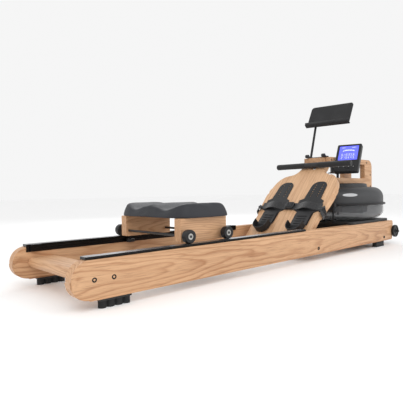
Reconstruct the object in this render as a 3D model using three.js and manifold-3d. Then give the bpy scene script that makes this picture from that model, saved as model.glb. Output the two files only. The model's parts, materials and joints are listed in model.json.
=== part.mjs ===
// Water-resistance rowing machine with an ash frame.
// Millimetres, +Z up, +X from the seat towards the tank, Y = 0 on the centre plane.
// Drawn with X = 0 at the rear end of the side rails, and centred over the origin at the end.
import * as THREE from 'three';
import { mergeVertices } from 'three/addons/utils/BufferGeometryUtils.js';
import Module from 'manifold-3d';

const wasm = await Module();
wasm.setup();

// ---------------------------------------------------------------- driving dimensions
const GAP = 0.3;                     // clearance between pieces that touch
const RUNNING_GAP = 0.6;             // clearance of a piece that slides or turns

const RAIL_LENGTH = 2080;
const RAIL_HEIGHT = 118;
const RAIL_THICKNESS = 34;
const FRAME_WIDTH = 510;             // over the outer faces of the two rails
const RAIL_END_RADIUS = 18;          // corners at the tank end

const FOOT_HEIGHT = 32;
const REAR_FOOT_X = 145;
const REAR_FOOT_LENGTH = 108;
const FRONT_FOOT_LENGTH = 100;
const FRONT_FOOT_SETBACK = 160;      // centre of the front foot from the rails' front end

const TRACK_START = 48;
const TRACK_THICKNESS = 8;
const TRACK_WIDTH = 30;
const TRACK_FLANGE = 20;             // depth of the flange inside the rail
const TRACK_STOP_LENGTH = 38;

const SEAT_REAR_X = 438;             // rear face of the seat blocks at rest
const SEAT_BLOCK_LENGTH = 230;
const SEAT_BLOCK_THICKNESS = 37;
const SEAT_BLOCK_INSET = 15;         // from the wheels' inner faces to the blocks
const SEAT_AXLE_INSET = 14;          // rear axle from the rear face of the blocks
const SEAT_BLOCK_HEIGHT = 86;
const SEAT_WHEELBASE = 192;
const SEAT_WHEEL_RADIUS = 24.5;
const SEAT_WHEEL_WIDTH = 26;
const SEAT_AXLE_RADIUS = 5;
const GUIDE_RADIUS = 18;
const GUIDE_HEIGHT = 13;
const CUSHION_HEIGHT = 60;
const CUSHION_REAR_OVERHANG = 18;
const CUSHION_FRONT_OVERHANG = 37;
const CUSHION_OVERHANG = 8;          // beyond the inner faces of the rails

const BOARD_THICKNESS = 28;          // footboard
const BOARD_SETBACK = 747;           // foot of the board's face line from the tank's axis
const BOARD_NECK_WIDTH = 160;
const BOARD_SIDE_CLEARANCE = 16;     // foot of the board to the rails' inner faces
const BOARD_FLARE = 14;              // the board widens by this above the rails

const TANK_SETBACK = 210;            // tank axis from the rails' front end
const TANK_WALL_RADIUS = 268;
const TANK_RIM = 6;                  // rims at the parting plane, beyond the wall
const TANK_RING_WIDTH = 6;
const TANK_RING_HALF_HEIGHT = 6;
const HOLD_DOWN_ANGLE = 155;         // from +X, degrees
const TANK_NECK_RADIUS = 170;
const TANK_DOME_RADIUS = 62;
const TANK_NECK_HEIGHT = 22;
const TANK_WALL = 5;
const TANK_RING_Z = 259;             // parting plane
const TANK_TOP_Z = 380;              // neck plateau
const TANK_BASE_THICKNESS = 15;
const TANK_BASE_REAR = 290;          // reach of the base behind the tank's axis
const TANK_BASE_FRONT = 175;
const TANK_SIDES = 28;                // facets round the tank, the same on every piece of it
const SHAFT_RADIUS = 8;

const TOWER_BOARD = 34;              // thickness of the tower's side frames
const TOWER_BEAM = 32;               // height of the deck and of the side beams
const TOWER_OPENING = 88;            // clear height between the side beams
const TOWER_WIDTH = 180;             // over the outer faces of the side frames
const UPRIGHT_DEPTH = 97;
const UPRIGHT_FOOT_Z = 318;          // the uprights reach down over the tank's shoulder
const UPRIGHT_REACH = 68;            // front face of the uprights beyond the rail ends

const DRUM_CORE_RADIUS = 46;
const DRUM_FLANGE_RADIUS = 62;
const DRUM_HEIGHT = 46;
const DRUM_CLEARANCE = 8;            // under the deck
const ROLLER_PIN = 5;
const ROLLER_RADIUS = 15;
const STRAP_WIDTH = 22;
const STRAP_THICKNESS = 1.8;

const HANDLE_LENGTH = 500;
const HANDLE_RADIUS = 17;
const HANDLE_STANDOFF = 3.5;         // grip to the face of the footboard

const FOOT_SPACING = 222;            // between the centre lines of the two foot plates
const FOOT_PLATE_THICKNESS = 4;
const FOOT_STRAP_UP = 356;           // centre line of the strap, up the slope
const FOOT_STRAP_WIDTH = 48;
const STRAP_ARCH = 18;               // room the strap leaves over each foot
const STRAP_ARCH_HALF_SPAN = 74;
const PLATE_HOLE_RADIUS = 4.2;

const MONITOR_WIDTH = 140;
const MONITOR_HEIGHT = 186;
const MONITOR_DEPTH = 28;
const MONITOR_TILT = 30;
const MONITOR_SWIVEL = 12;
const ARM_ELBOW = 24;                // from the tilt barrel back to the arm's elbow

const TRAY_WIDTH = 266;
const TRAY_HEIGHT = 154;
const TRAY_TILT = 32;
const TRAY_SWIVEL = 8;
const POLE_RADIUS = 7;
const HINGE_PIN = 3.5;

const TRANSPORT_WHEEL_RADIUS = 37.5;
const TRANSPORT_WHEEL_WIDTH = 16;

// ---------------------------------------------------------------- derived places
const RAIL_TOP = FOOT_HEIGHT + RAIL_HEIGHT;
const RAIL_MID_Z = FOOT_HEIGHT + RAIL_HEIGHT / 2;
const HALF = FRAME_WIDTH / 2;
const INNER = HALF - RAIL_THICKNESS;
const TANK_X = RAIL_LENGTH - TANK_SETBACK;
const TANK_RING_RADIUS = TANK_WALL_RADIUS + TANK_RIM + TANK_RING_WIDTH;
const BOARD_X = TANK_X - BOARD_SETBACK;            // where the footboard's face line meets z = 0
const BOARD_FALL = BOARD_THICKNESS * Math.SQRT2;   // board thickness measured along X or Z
const TRACK_END = BOARD_X + 27;
const TRACK_TOP = RAIL_TOP + GAP + TRACK_THICKNESS;
const SEAT_WHEEL_Y = INNER + 9;
const SEAT_WHEEL_Z = TRACK_TOP + GAP + SEAT_WHEEL_RADIUS;
const SEAT_BLOCK_Y = SEAT_WHEEL_Y - SEAT_WHEEL_WIDTH / 2 - SEAT_BLOCK_INSET;   // outer face
const SEAT_BLOCK_Z = RAIL_TOP + 10;
const REAR_AXLE_X = SEAT_REAR_X + SEAT_AXLE_INSET;
const SEAT_AXLES = [REAR_AXLE_X, REAR_AXLE_X + SEAT_WHEELBASE];
const CUSHION_Z = SEAT_BLOCK_Z + SEAT_BLOCK_HEIGHT + GAP;
const BEAM_Z = TANK_TOP_Z + 3;
const DECK_Z = BEAM_Z + TOWER_BEAM + TOWER_OPENING;
const DECK_TOP = DECK_Z + TOWER_BEAM;
const TOWER_Y = TOWER_WIDTH / 2;
const TOWER_FRONT = RAIL_LENGTH + UPRIGHT_REACH;
const DECK_REAR = BOARD_X + DECK_Z;
const ROLLER_HALF = STRAP_WIDTH / 2 + 3;
const HANDLE_X = BOARD_X + 459;
const HANDLE_Z = HANDLE_X - BOARD_X + (HANDLE_RADIUS + HANDLE_STANDOFF) * Math.SQRT2;
const DRUM_Z = DECK_Z - DRUM_CLEARANCE - DRUM_HEIGHT;
const ROLLER_X = HANDLE_X + 50;
const ROLLER_Z = DECK_Z - 4 - ROLLER_RADIUS;

const WOOD = { color: 0xd9ab73, roughness: 0.55, metalness: 0 };
const BLACK_PLASTIC = { color: 0x1d1d1f, roughness: 0.5, metalness: 0 };
const FOAM = { color: 0x1b1c1e, roughness: 0.85, metalness: 0 };
const RUBBER = { color: 0x17171a, roughness: 0.8, metalness: 0 };
const BLACK_METAL = { color: 0x26272a, roughness: 0.35, metalness: 0.7 };
const STEEL = { color: 0xb9bcc0, roughness: 0.3, metalness: 1 };
const SMOKED = { color: 0x303236, roughness: 0.15, metalness: 0 };
const WEBBING = { color: 0x161617, roughness: 0.9, metalness: 0 };
const SCREEN_BLUE = { color: 0x3a3ad0, roughness: 0.2, metalness: 0 };
const PALE_BUTTON = { color: 0xd8d8da, roughness: 0.5, metalness: 0 };

const machine = new THREE.Group();

// ---------------------------------------------------------------- helpers
/** Adds one named sub-part to a group. */
function piece(name, geometry, finish, parent = machine) {
  const mesh = new THREE.Mesh(geometry, new THREE.MeshStandardMaterial(finish));
  mesh.name = name;
  parent.add(mesh);
  return mesh;
}

/** Turns a closed three.js geometry into a solid for cutting and joining. */
function solid(geometry) {
  const bare = geometry.clone();
  bare.deleteAttribute('normal');
  bare.deleteAttribute('uv');
  const merged = mergeVertices(bare, 1e-4);
  const vertProperties = new Float32Array(merged.attributes.position.array);
  const triVerts = new Uint32Array(merged.index.array);
  return new wasm.Manifold(new wasm.Mesh({ numProp: 3, vertProperties, triVerts }));
}

/** Turns a cut or joined solid back into a geometry. */
function shaped(body) {
  const mesh = body.getMesh();
  const geometry = new THREE.BufferGeometry();
  geometry.setAttribute('position', new THREE.BufferAttribute(mesh.vertProperties, 3));
  geometry.setIndex(new THREE.BufferAttribute(mesh.triVerts, 1));
  geometry.computeVertexNormals();
  return geometry;
}

const join = (first, ...others) => shaped(others.reduce((all, g) => all.add(solid(g)), solid(first)));
const cut = (first, ...others) => shaped(others.reduce((all, g) => all.subtract(solid(g)), solid(first)));

/** A block between two corners. */
function block(x0, x1, y0, y1, z0, z1) {
  const geometry = new THREE.BoxGeometry(x1 - x0, y1 - y0, z1 - z0);
  return geometry.translate((x0 + x1) / 2, (y0 + y1) / 2, (z0 + z1) / 2);
}

/** Extrudes a flat outline by a thickness, with an eased edge on both faces. */
function slab(shape, thickness, ease = 0, curveSegments = 8) {
  const geometry = new THREE.ExtrudeGeometry(shape, {
    depth: thickness - 2 * ease,
    curveSegments,
    steps: 1,
    bevelEnabled: ease > 0,
    bevelThickness: ease,
    bevelSize: ease,
    bevelOffset: -ease,
    bevelSegments: 1,
  });
  return geometry.translate(0, 0, ease);
}

/** A board whose outline is drawn in X and Z, reaching from y0 to y1. */
function sideBoard(shape, y0, y1, ease = 0, curveSegments = 8) {
  return slab(shape, y1 - y0, ease, curveSegments).rotateX(Math.PI / 2).translate(0, y1, 0);
}

/** A board whose outline is drawn in X and Y, reaching from z0 to z1. */
function flatBoard(shape, z0, z1, ease = 0, curveSegments = 8) {
  return slab(shape, z1 - z0, ease, curveSegments).translate(0, 0, z0);
}

/** A round bar along Y. */
function rodY(x, z, radius, y0, y1, sides = 14) {
  return new THREE.CylinderGeometry(radius, radius, y1 - y0, sides).translate(x, (y0 + y1) / 2, z);
}

/** A round bar along Z. */
function rodZ(x, y, radius, z0, z1, sides = 14) {
  const geometry = new THREE.CylinderGeometry(radius, radius, z1 - z0, sides);
  return geometry.rotateX(Math.PI / 2).translate(x, y, (z0 + z1) / 2);
}

/** A round bar along X, about its middle. */
function rodAcross(x, y, z, radius, length, sides) {
  return new THREE.CylinderGeometry(radius, radius, length, sides).rotateZ(Math.PI / 2).translate(x, y, z);
}

/** A round bar between two points. */
function rodBetween(from, to, radius, sides) {
  const reach = to.clone().sub(from);
  const turn = new THREE.Quaternion();
  turn.setFromUnitVectors(new THREE.Vector3(0, 1, 0), reach.clone().normalize());
  const bar = new THREE.CylinderGeometry(radius, radius, reach.length(), sides).applyQuaternion(turn);
  return bar.translate((from.x + to.x) / 2, (from.y + to.y) / 2, (from.z + to.z) / 2);
}

/** The two ears of a hinge on the back of a panel, standing out from z = root. */
function hingeEars(x, y, z, apart, root) {
  return [-1, 1].map((sign) => {
    const mid = x + sign * apart;
    return block(mid - 3, mid + 3, y - 8, y + 8, z - 7, root);
  });
}

/** A turned piece on the Z axis from [radius, height] pairs. */
function turnedZ(profile, sides = 48) {
  const points = profile.map(([r, z]) => new THREE.Vector2(r, z));
  return new THREE.LatheGeometry(points, sides).rotateX(Math.PI / 2);
}

/** A turned piece on the Y axis from [radius, y] pairs. */
function turnedY(profile, sides = 32) {
  const points = profile.map(([r, y]) => new THREE.Vector2(r, y));
  return new THREE.LatheGeometry(points, sides);
}

/** Rectangle with rounded corners, from its low corner to its high corner. */
function roundedRect(x0, y0, x1, y1, radius) {
  const r = Math.min(radius, (x1 - x0) / 2.01, (y1 - y0) / 2.01);
  const shape = new THREE.Shape();
  shape.moveTo(x0 + r, y0);
  shape.lineTo(x1 - r, y0);
  shape.absarc(x1 - r, y0 + r, r, -Math.PI / 2, 0, false);
  shape.lineTo(x1, y1 - r);
  shape.absarc(x1 - r, y1 - r, r, 0, Math.PI / 2, false);
  shape.lineTo(x0 + r, y1);
  shape.absarc(x0 + r, y1 - r, r, Math.PI / 2, Math.PI, false);
  shape.lineTo(x0, y0 + r);
  shape.absarc(x0 + r, y0 + r, r, Math.PI, 1.5 * Math.PI, false);
  return shape;
}

/** Closed outline through straight points. */
function polygon(points) {
  return new THREE.Shape(points.map(([x, y]) => new THREE.Vector2(x, y)));
}

/** Radius of a faceted hole that clears a bar of a given radius all the way round. */
const clearRadius = (radius, sides) => (radius + GAP) / Math.cos(Math.PI / sides);

/** Adds a round hole to an outline. */
function hole(shape, x, y, radius) {
  const path = new THREE.Path();
  path.absarc(x, y, radius, 0, 2 * Math.PI, true);
  shape.holes.push(path);
}

/** A flat band whose centre line is place(t) and whose width direction is across(t), t from 0 to 1. */
function band(place, across, width, thickness, steps) {
  const geometry = new THREE.BoxGeometry(1, width, thickness, steps, 1, 1);
  const position = geometry.attributes.position;
  const delta = 1e-3;
  for (let i = 0; i < position.count; i += 1) {
    const t = position.getX(i) + 0.5;
    const centre = place(t);
    const ahead = place(Math.min(t + delta, 1));
    const behind = place(Math.max(t - delta, 0));
    const along = ahead.sub(behind).normalize();
    const side = across(t).clone();
    side.addScaledVector(along, -side.dot(along)).normalize();
    const up = new THREE.Vector3().crossVectors(along, side);
    centre.addScaledVector(side, position.getY(i)).addScaledVector(up, position.getZ(i));
    position.setXYZ(i, centre.x, centre.y, centre.z);
  }
  geometry.computeVertexNormals();
  return geometry;
}

/** Group whose X runs to the reader's right, Y up the panel and Z out of its face. */
function facing(origin, swivel, tilt) {
  const s = THREE.MathUtils.degToRad(swivel);
  const t = THREE.MathUtils.degToRad(tilt);
  const right = new THREE.Vector3(Math.sin(s), -Math.cos(s), 0);
  const up = new THREE.Vector3(Math.cos(s) * Math.sin(t), Math.sin(s) * Math.sin(t), Math.cos(t));
  const out = new THREE.Vector3().crossVectors(right, up);
  const group = new THREE.Group();
  group.matrixAutoUpdate = false;
  group.matrix.makeBasis(right, up, out).setPosition(origin);
  machine.add(group);
  return group;
}

/** Group on the footboard: X across to the right-hand side, Y up the slope, Z out of the board. */
function onFootboard(across, upSlope) {
  const group = new THREE.Group();
  const right = new THREE.Vector3(0, -1, 0);
  const up = new THREE.Vector3(Math.SQRT1_2, 0, Math.SQRT1_2);
  const out = new THREE.Vector3(-Math.SQRT1_2, 0, Math.SQRT1_2);
  group.matrixAutoUpdate = false;
  group.matrix.makeBasis(right, up, out);
  group.matrix.setPosition(BOARD_X + upSlope * Math.SQRT1_2, across, upSlope * Math.SQRT1_2);
  machine.add(group);
  return group;
}

const SIDES = [['left', 1], ['right', -1]];

/** Runs a maker with the low and high Y of a slice that lies between two distances from the centre. */
function mirrored(near, far, make) {
  for (const [name, sign] of SIDES) {
    make(name, Math.min(sign * near, sign * far), Math.max(sign * near, sign * far), sign);
  }
}

// ---------------------------------------------------------------- base frame
function railOutline() {
  const r = RAIL_HEIGHT / 2;
  const e = RAIL_END_RADIUS;
  const shape = new THREE.Shape();
  shape.moveTo(r, FOOT_HEIGHT);
  shape.lineTo(RAIL_LENGTH - e, FOOT_HEIGHT);
  shape.absarc(RAIL_LENGTH - e, FOOT_HEIGHT + e, e, -Math.PI / 2, 0, false);
  shape.lineTo(RAIL_LENGTH, RAIL_TOP - e);
  shape.absarc(RAIL_LENGTH - e, RAIL_TOP - e, e, 0, Math.PI / 2, false);
  shape.lineTo(r, RAIL_TOP);
  shape.absarc(r, RAIL_MID_Z, r, Math.PI / 2, 1.5 * Math.PI, false);
  return shape;
}

function sideRails() {
  mirrored(INNER, HALF, (side, y0, y1) => {
    piece(`side_rail_${side}`, sideBoard(railOutline(), y0, y1, 3, 6), WOOD);
  });
}

function rearCrossmember() {
  const z0 = 71;
  const z1 = 109;
  const nose = (z1 - z0) / 2;
  const rear = 55;
  const front = 155;
  const shape = new THREE.Shape();
  shape.moveTo(rear + nose, z0);
  shape.lineTo(front, z0);
  shape.lineTo(front, z1);
  shape.lineTo(rear + nose, z1);
  shape.absarc(rear + nose, (z0 + z1) / 2, nose, Math.PI / 2, 1.5 * Math.PI, false);
  piece('rear_crossmember', sideBoard(shape, -INNER + GAP, INNER - GAP), WOOD);
}

/** Board under the foot of the footboard, on the same slope. */
function middleCrossmember() {
  const thickness = 36;
  const low = 52;
  const high = 118;
  const face = BOARD_X + BOARD_FALL + GAP * 2;
  const back = face + thickness * Math.SQRT2;
  const corners = [[face + low, low], [back + low, low], [back + high, high], [face + high, high]];
  piece('middle_crossmember', sideBoard(polygon(corners), -INNER + GAP, INNER - GAP, 1), WOOD);
}

function frontCrossmember() {
  const x1 = RAIL_LENGTH - 95;
  const x0 = x1 - 34;
  const shape = roundedRect(x0, RAIL_MID_Z - 48, x1, RAIL_MID_Z + 46, 4);
  piece('front_crossmember', sideBoard(shape, -INNER + GAP, INNER - GAP, 0, 3), WOOD);
}

/** Rear feet: four moulded columns side by side under a cap. */
function rearFeet() {
  const columns = 4;
  const pitch = REAR_FOOT_LENGTH / columns;
  const start = REAR_FOOT_X - REAR_FOOT_LENGTH / 2;
  mirrored(INNER + 4, HALF - 4, (side, y0, y1) => {
    const mid = (y0 + y1) / 2;
    const cap = block(start, start + REAR_FOOT_LENGTH, y0, y1, FOOT_HEIGHT - 10, FOOT_HEIGHT - GAP);
    const columnsUnder = [];
    for (let i = 0; i < columns; i += 1) {
      const x = start + pitch * (i + 0.5);
      columnsUnder.push(rodZ(x, mid, pitch / 2 - 0.6, 0, FOOT_HEIGHT - 9, 14));
    }
    const web = block(start + 4, start + REAR_FOOT_LENGTH - 4, mid - 5, mid + 5, 2, FOOT_HEIGHT - 9);
    piece(`rear_foot_${side}`, join(cap, web, ...columnsUnder), RUBBER);
  });
}

function frontFeet() {
  const x = RAIL_LENGTH - FRONT_FOOT_SETBACK;
  mirrored(INNER + 3, HALF - 3, (side, y0, y1) => {
    const outline = roundedRect(x - FRONT_FOOT_LENGTH / 2, y0, x + FRONT_FOOT_LENGTH / 2, y1, 5);
    piece(`front_foot_${side}`, flatBoard(outline, 0, FOOT_HEIGHT - GAP, 0, 2), RUBBER);
  });
}

/** Seat tracks: a strip on the rail, a flange inside it, and an end stop at each end. */
function tracks() {
  for (const [side, sign] of SIDES) {
    const inside = INNER - GAP;
    const strip = polygon([
      [inside - 4, RAIL_TOP - TRACK_FLANGE],
      [inside, RAIL_TOP - TRACK_FLANGE],
      [inside, RAIL_TOP + GAP],
      [inside + TRACK_WIDTH, RAIL_TOP + GAP],
      [inside + TRACK_WIDTH, TRACK_TOP],
      [inside - 4, TRACK_TOP],
    ]);
    const length = TRACK_END - TRACK_START;
    let profile = slab(strip, length, 0).rotateX(Math.PI / 2).rotateZ(Math.PI / 2);
    profile = profile.translate(TRACK_START, 0, 0);
    if (sign < 0) {
      profile = profile.rotateZ(Math.PI).translate(TRACK_START + TRACK_END, 0, 0);
    }
    const stops = [TRACK_START + 14, TRACK_END - TRACK_STOP_LENGTH].map((x) => {
      const near = sign * (inside - 14);
      const far = sign * (inside - 2);
      return block(x, x + TRACK_STOP_LENGTH, Math.min(near, far), Math.max(near, far),
        RAIL_TOP - 17, TRACK_TOP - 1);
    });
    piece(`seat_track_${side}`, join(profile, ...stops), BLACK_METAL);
  }
}

/** Low platform that lies on the rails and carries the tank. */
function tankBase() {
  const half = HALF - 6;
  const outline = roundedRect(TANK_X - TANK_BASE_REAR, -half, TANK_X + TANK_BASE_FRONT, half, 30);
  const plate = flatBoard(outline, RAIL_TOP + GAP, RAIL_TOP + TANK_BASE_THICKNESS - GAP, 0, 3);
  const drop = 46;
  const ribs = [-1, 1].map((sign) => {
    const x = TANK_X + sign * 130;
    return block(x - 14, x + 14, -INNER + 2, INNER - 2, RAIL_TOP - drop, RAIL_TOP + 6);
  });
  piece('tank_base', join(plate, ...ribs), BLACK_PLASTIC);
}

/** Axle across the tank end, on two plates screwed to the ends of the rails. */
function transportWheels() {
  const axleX = RAIL_LENGTH + 14;
  const axleZ = RAIL_MID_Z - 9;
  const inner = HALF + 3;
  const outer = inner + TRANSPORT_WHEEL_WIDTH;
  const bars = [rodY(axleX, axleZ, 6, -outer - 16, outer + 16)];
  for (const [, sign] of SIDES) {
    const mid = sign * (HALF - RAIL_THICKNESS / 2);
    bars.push(block(RAIL_LENGTH + GAP, RAIL_LENGTH + 5, mid - 13, mid + 13, axleZ - 26, axleZ + 26));
    bars.push(rodY(axleX, axleZ, 10, mid - 11, mid + 11));
    bars.push(block(RAIL_LENGTH + 4, axleX, mid - 11, mid + 11, axleZ - 9, axleZ + 9));
    const nut = sign * (outer + 7);
    bars.push(rodY(axleX, axleZ, 9, nut - 5, nut + 5, 6));
  }
  piece('transport_axle', join(...bars), BLACK_METAL);
  mirrored(inner, outer, (side, y0, y1) => {
    const r = TRANSPORT_WHEEL_RADIUS;
    const bore = 6 + RUNNING_GAP;
    const ease = 2.5;
    const profile = [[bore, y0], [r - ease, y0], [r, y0 + ease], [r, y1 - ease], [r - ease, y1],
      [bore, y1], [bore, y0]];
    piece(`transport_wheel_${side}`, turnedY(profile, 18).translate(axleX, 0, axleZ), RUBBER);
  });
}

// ---------------------------------------------------------------- seat
function seatBlocks() {
  mirrored(SEAT_BLOCK_Y - SEAT_BLOCK_THICKNESS, SEAT_BLOCK_Y, (side, y0, y1) => {
    const x1 = SEAT_REAR_X + SEAT_BLOCK_LENGTH;
    const shape = roundedRect(SEAT_REAR_X, SEAT_BLOCK_Z, x1, SEAT_BLOCK_Z + SEAT_BLOCK_HEIGHT, 3);
    SEAT_AXLES.forEach((x) => hole(shape, x, SEAT_WHEEL_Z, clearRadius(SEAT_AXLE_RADIUS, 12)));
    piece(`seat_block_${side}`, sideBoard(shape, y0, y1, 0, 6), WOOD);
  });
}

function seatAxles() {
  const end = SEAT_WHEEL_Y + SEAT_WHEEL_WIDTH / 2 + 1.5;
  ['rear', 'front'].forEach((name, i) => {
    piece(`seat_axle_${name}`, rodY(SEAT_AXLES[i], SEAT_WHEEL_Z, SEAT_AXLE_RADIUS, -end, end, 14), STEEL);
  });
}

function seatWheels() {
  const r = SEAT_WHEEL_RADIUS;
  const bore = clearRadius(SEAT_AXLE_RADIUS, 16);
  const half = SEAT_WHEEL_WIDTH / 2;
  ['rear', 'front'].forEach((name, i) => {
    mirrored(SEAT_WHEEL_Y - half, SEAT_WHEEL_Y + half, (side, y0, y1) => {
      const profile = [[bore, y0], [r - 2, y0], [r, y0 + 2], [r, y1 - 2], [r - 2, y1],
        [bore, y1], [bore, y0]];
      const wheel = turnedY(profile, 16).translate(SEAT_AXLES[i], 0, SEAT_WHEEL_Z);
      piece(`seat_wheel_${name}_${side}`, wheel, RUBBER);
    });
  });
}

/** Bracket with a small roller that keeps the carriage centred between the tracks. */
function guideRollers() {
  const r = GUIDE_RADIUS;
  const z0 = RAIL_TOP - TRACK_FLANGE + 1;
  const stemRadius = 4;
  for (const [side, sign] of SIDES) {
    const y = sign * (INNER - GAP - 4 - GAP - r);
    const x = SEAT_REAR_X + 40;
    const stem = rodZ(x, y, stemRadius, z0 + GUIDE_HEIGHT - 1, SEAT_BLOCK_Z - GAP, 16);
    const wheel = rodZ(x, y, r, z0, z0 + GUIDE_HEIGHT, 16);
    piece(`guide_roller_${side}`, join(wheel, stem), BLACK_PLASTIC);
  }
}

/** Plain closed form of the moulded cushion, with its raised rear rim and two hollows. */
function seatCushion() {
  const half = INNER + CUSHION_OVERHANG;
  const x0 = SEAT_REAR_X - CUSHION_REAR_OVERHANG;
  const x1 = SEAT_REAR_X + SEAT_BLOCK_LENGTH + CUSHION_FRONT_OVERHANG;
  const shape = roundedRect(x0, -half, x1, half, 46);
  piece('seat_cushion', flatBoard(shape, CUSHION_Z, CUSHION_Z + CUSHION_HEIGHT, 7, 4), FOAM);
}

// ---------------------------------------------------------------- footboard
/** Outline in the board's own plane: x across, y up the slope from the z = 0 line. */
function footboardOutline(foot, top) {
  const shoulder = INNER - BOARD_SIDE_CLEARANCE;
  const wide = shoulder + BOARD_FLARE;
  const neck = BOARD_NECK_WIDTH / 2;
  const corner = 24;
  const edge = shoulder - 28;
  const shape = new THREE.Shape();
  shape.moveTo(-edge, foot);
  shape.lineTo(edge, foot);
  shape.absarc(edge, foot + corner, corner, -Math.PI / 2, 0, false);
  shape.lineTo(shoulder - 4, 290);
  shape.bezierCurveTo(shoulder, 340, wide + 2, 400, wide, 470);
  shape.bezierCurveTo(wide - 2, 520, wide - 8, 560, wide - 40, 588);
  shape.bezierCurveTo(wide - 76, 620, neck + 26, 596, neck + 6, 646);
  shape.bezierCurveTo(neck, 656, neck, 662, neck, 672);
  shape.lineTo(neck, top);
  shape.lineTo(-neck, top);
  shape.lineTo(-neck, 672);
  shape.bezierCurveTo(-neck, 662, -neck, 656, -neck - 6, 646);
  shape.bezierCurveTo(-neck - 26, 596, -wide + 76, 620, -wide + 40, 588);
  shape.bezierCurveTo(-wide + 8, 560, -wide + 2, 520, -wide, 470);
  shape.bezierCurveTo(-wide - 2, 400, -shoulder, 340, -shoulder + 4, 290);
  shape.lineTo(-edge - corner, foot + corner);
  shape.absarc(-edge, foot + corner, corner, Math.PI, 1.5 * Math.PI, false);
  return shape;
}

function footboard() {
  const foot = 82;
  const top = 760;
  const group = onFootboard(0, 0);
  const board = slab(footboardOutline(foot, top), BOARD_THICKNESS, 4, 6).translate(0, 0, -BOARD_THICKNESS);
  board.applyMatrix4(group.matrix);
  machine.remove(group);
  const overDeck = block(BOARD_X, BOARD_X + 900, -300, 300, DECK_Z - GAP, DECK_Z + 400);
  const slot = ROLLER_HALF + RUNNING_GAP;
  const far = HANDLE_X + 200;
  const above = DECK_Z + 300;
  const strapSlot = block(HANDLE_X, far, -slot, slot, ROLLER_Z - ROLLER_RADIUS - 5, above);
  const pinBores = rodY(ROLLER_X, ROLLER_Z, ROLLER_PIN + GAP, -slot - 7, slot + 7);
  const fanOut = block(ROLLER_X + ROLLER_PIN + 3, far, -slot - 8, slot + 8, ROLLER_Z - 6, above);
  piece('footboard', cut(board, overDeck, strapSlot, fanOut, pinBores), WOOD);
}

/** Foot plate with its tongue and two rows of adjustment holes. */
function footPlates() {
  for (const [side, sign] of SIDES) {
    const group = onFootboard(sign * FOOT_SPACING / 2, 0);
    const shape = new THREE.Shape();
    shape.moveTo(-50, 232);
    shape.lineTo(50, 232);
    shape.lineTo(52, 318);
    shape.lineTo(74, 332);
    shape.lineTo(76, 404);
    shape.lineTo(52, 418);
    shape.lineTo(48, 508);
    shape.absarc(8, 508, 40, 0, Math.PI / 2, false);
    shape.lineTo(-8, 548);
    shape.absarc(-8, 508, 40, Math.PI / 2, Math.PI, false);
    shape.lineTo(-52, 418);
    shape.lineTo(-76, 404);
    shape.lineTo(-74, 332);
    shape.lineTo(-52, 318);
    for (let row = 0; row < 6; row += 1) {
      hole(shape, -22, 438 + row * 17, PLATE_HOLE_RADIUS);
      hole(shape, 22, 438 + row * 17, PLATE_HOLE_RADIUS);
    }
    const plate = slab(shape, FOOT_PLATE_THICKNESS, 0, 3).translate(0, 0, GAP);
    piece(`foot_plate_${side}`, plate, BLACK_PLASTIC, group);
  }
}

/** Sliding heel plate with its upturned cup. */
function heelPlates() {
  for (const [side, sign] of SIDES) {
    const group = onFootboard(sign * FOOT_SPACING / 2, 0);
    const floorZ = GAP + FOOT_PLATE_THICKNESS + RUNNING_GAP;
    const heel = 166;
    const shape = new THREE.Shape();
    shape.moveTo(-46, heel + 40);
    shape.absarc(-6, heel + 40, 40, Math.PI, 1.5 * Math.PI, false);
    shape.lineTo(6, heel);
    shape.absarc(6, heel + 40, 40, -Math.PI / 2, 0, false);
    shape.lineTo(48, 300);
    shape.absarc(30, 300, 18, 0, Math.PI / 2, false);
    shape.lineTo(-30, 318);
    shape.absarc(-30, 300, 18, Math.PI / 2, Math.PI, false);
    const sole = slab(shape, 5, 0, 4).translate(0, 0, floorZ);
    const cup = new THREE.Shape();
    cup.moveTo(46, heel + 62);
    cup.lineTo(46, heel + 40);
    cup.absarc(6, heel + 40, 40, 0, -Math.PI / 2, true);
    cup.lineTo(-6, heel);
    cup.absarc(-6, heel + 40, 40, -Math.PI / 2, -Math.PI, true);
    cup.lineTo(-46, heel + 62);
    cup.lineTo(-42, heel + 62);
    cup.lineTo(-42, heel + 40);
    cup.absarc(-6, heel + 40, 36, -Math.PI, -Math.PI / 2, false);
    cup.lineTo(6, heel + 4);
    cup.absarc(6, heel + 40, 36, -Math.PI / 2, 0, false);
    cup.lineTo(42, heel + 62);
    const wall = slab(cup, 38, 0, 4).translate(0, 0, floorZ);
    piece(`heel_plate_${side}`, join(sole, wall), BLACK_PLASTIC, group);
  }
}

/** Height of the strap's centre line above the footboard, at a distance across it. */
function strapRise(across) {
  const rest = GAP * 2 + FOOT_PLATE_THICKNESS + 2;
  let rise = rest;
  for (const [, sign] of SIDES) {
    const u = (across + sign * FOOT_SPACING / 2) / STRAP_ARCH_HALF_SPAN;
    if (Math.abs(u) < 1) {
      rise += STRAP_ARCH * (Math.cos(Math.PI * u) + 1) / 2;
    }
  }
  return rise;
}

/** Webbing strap over both feet, tucked round the board's edges, with its buckle in the middle. */
function footStrap() {
  const group = onFootboard(0, FOOT_STRAP_UP);
  const halfSpan = INNER - BOARD_SIDE_CLEARANCE - 8;
  const place = (t) => {
    const across = (t - 0.5) * 2 * halfSpan;
    return new THREE.Vector3(across, 0, strapRise(across));
  };
  const across = () => new THREE.Vector3(0, 1, 0);
  piece('foot_strap', band(place, across, FOOT_STRAP_WIDTH, 2.4, 36), WEBBING, group);
  const buckle = roundedRect(-27, -22, 27, 22, 12);
  const seat = strapRise(0) + 2 + GAP;
  piece('strap_buckle', slab(buckle, 12, 2, 3).translate(0, 0, seat), BLACK_PLASTIC, group);
}

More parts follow.
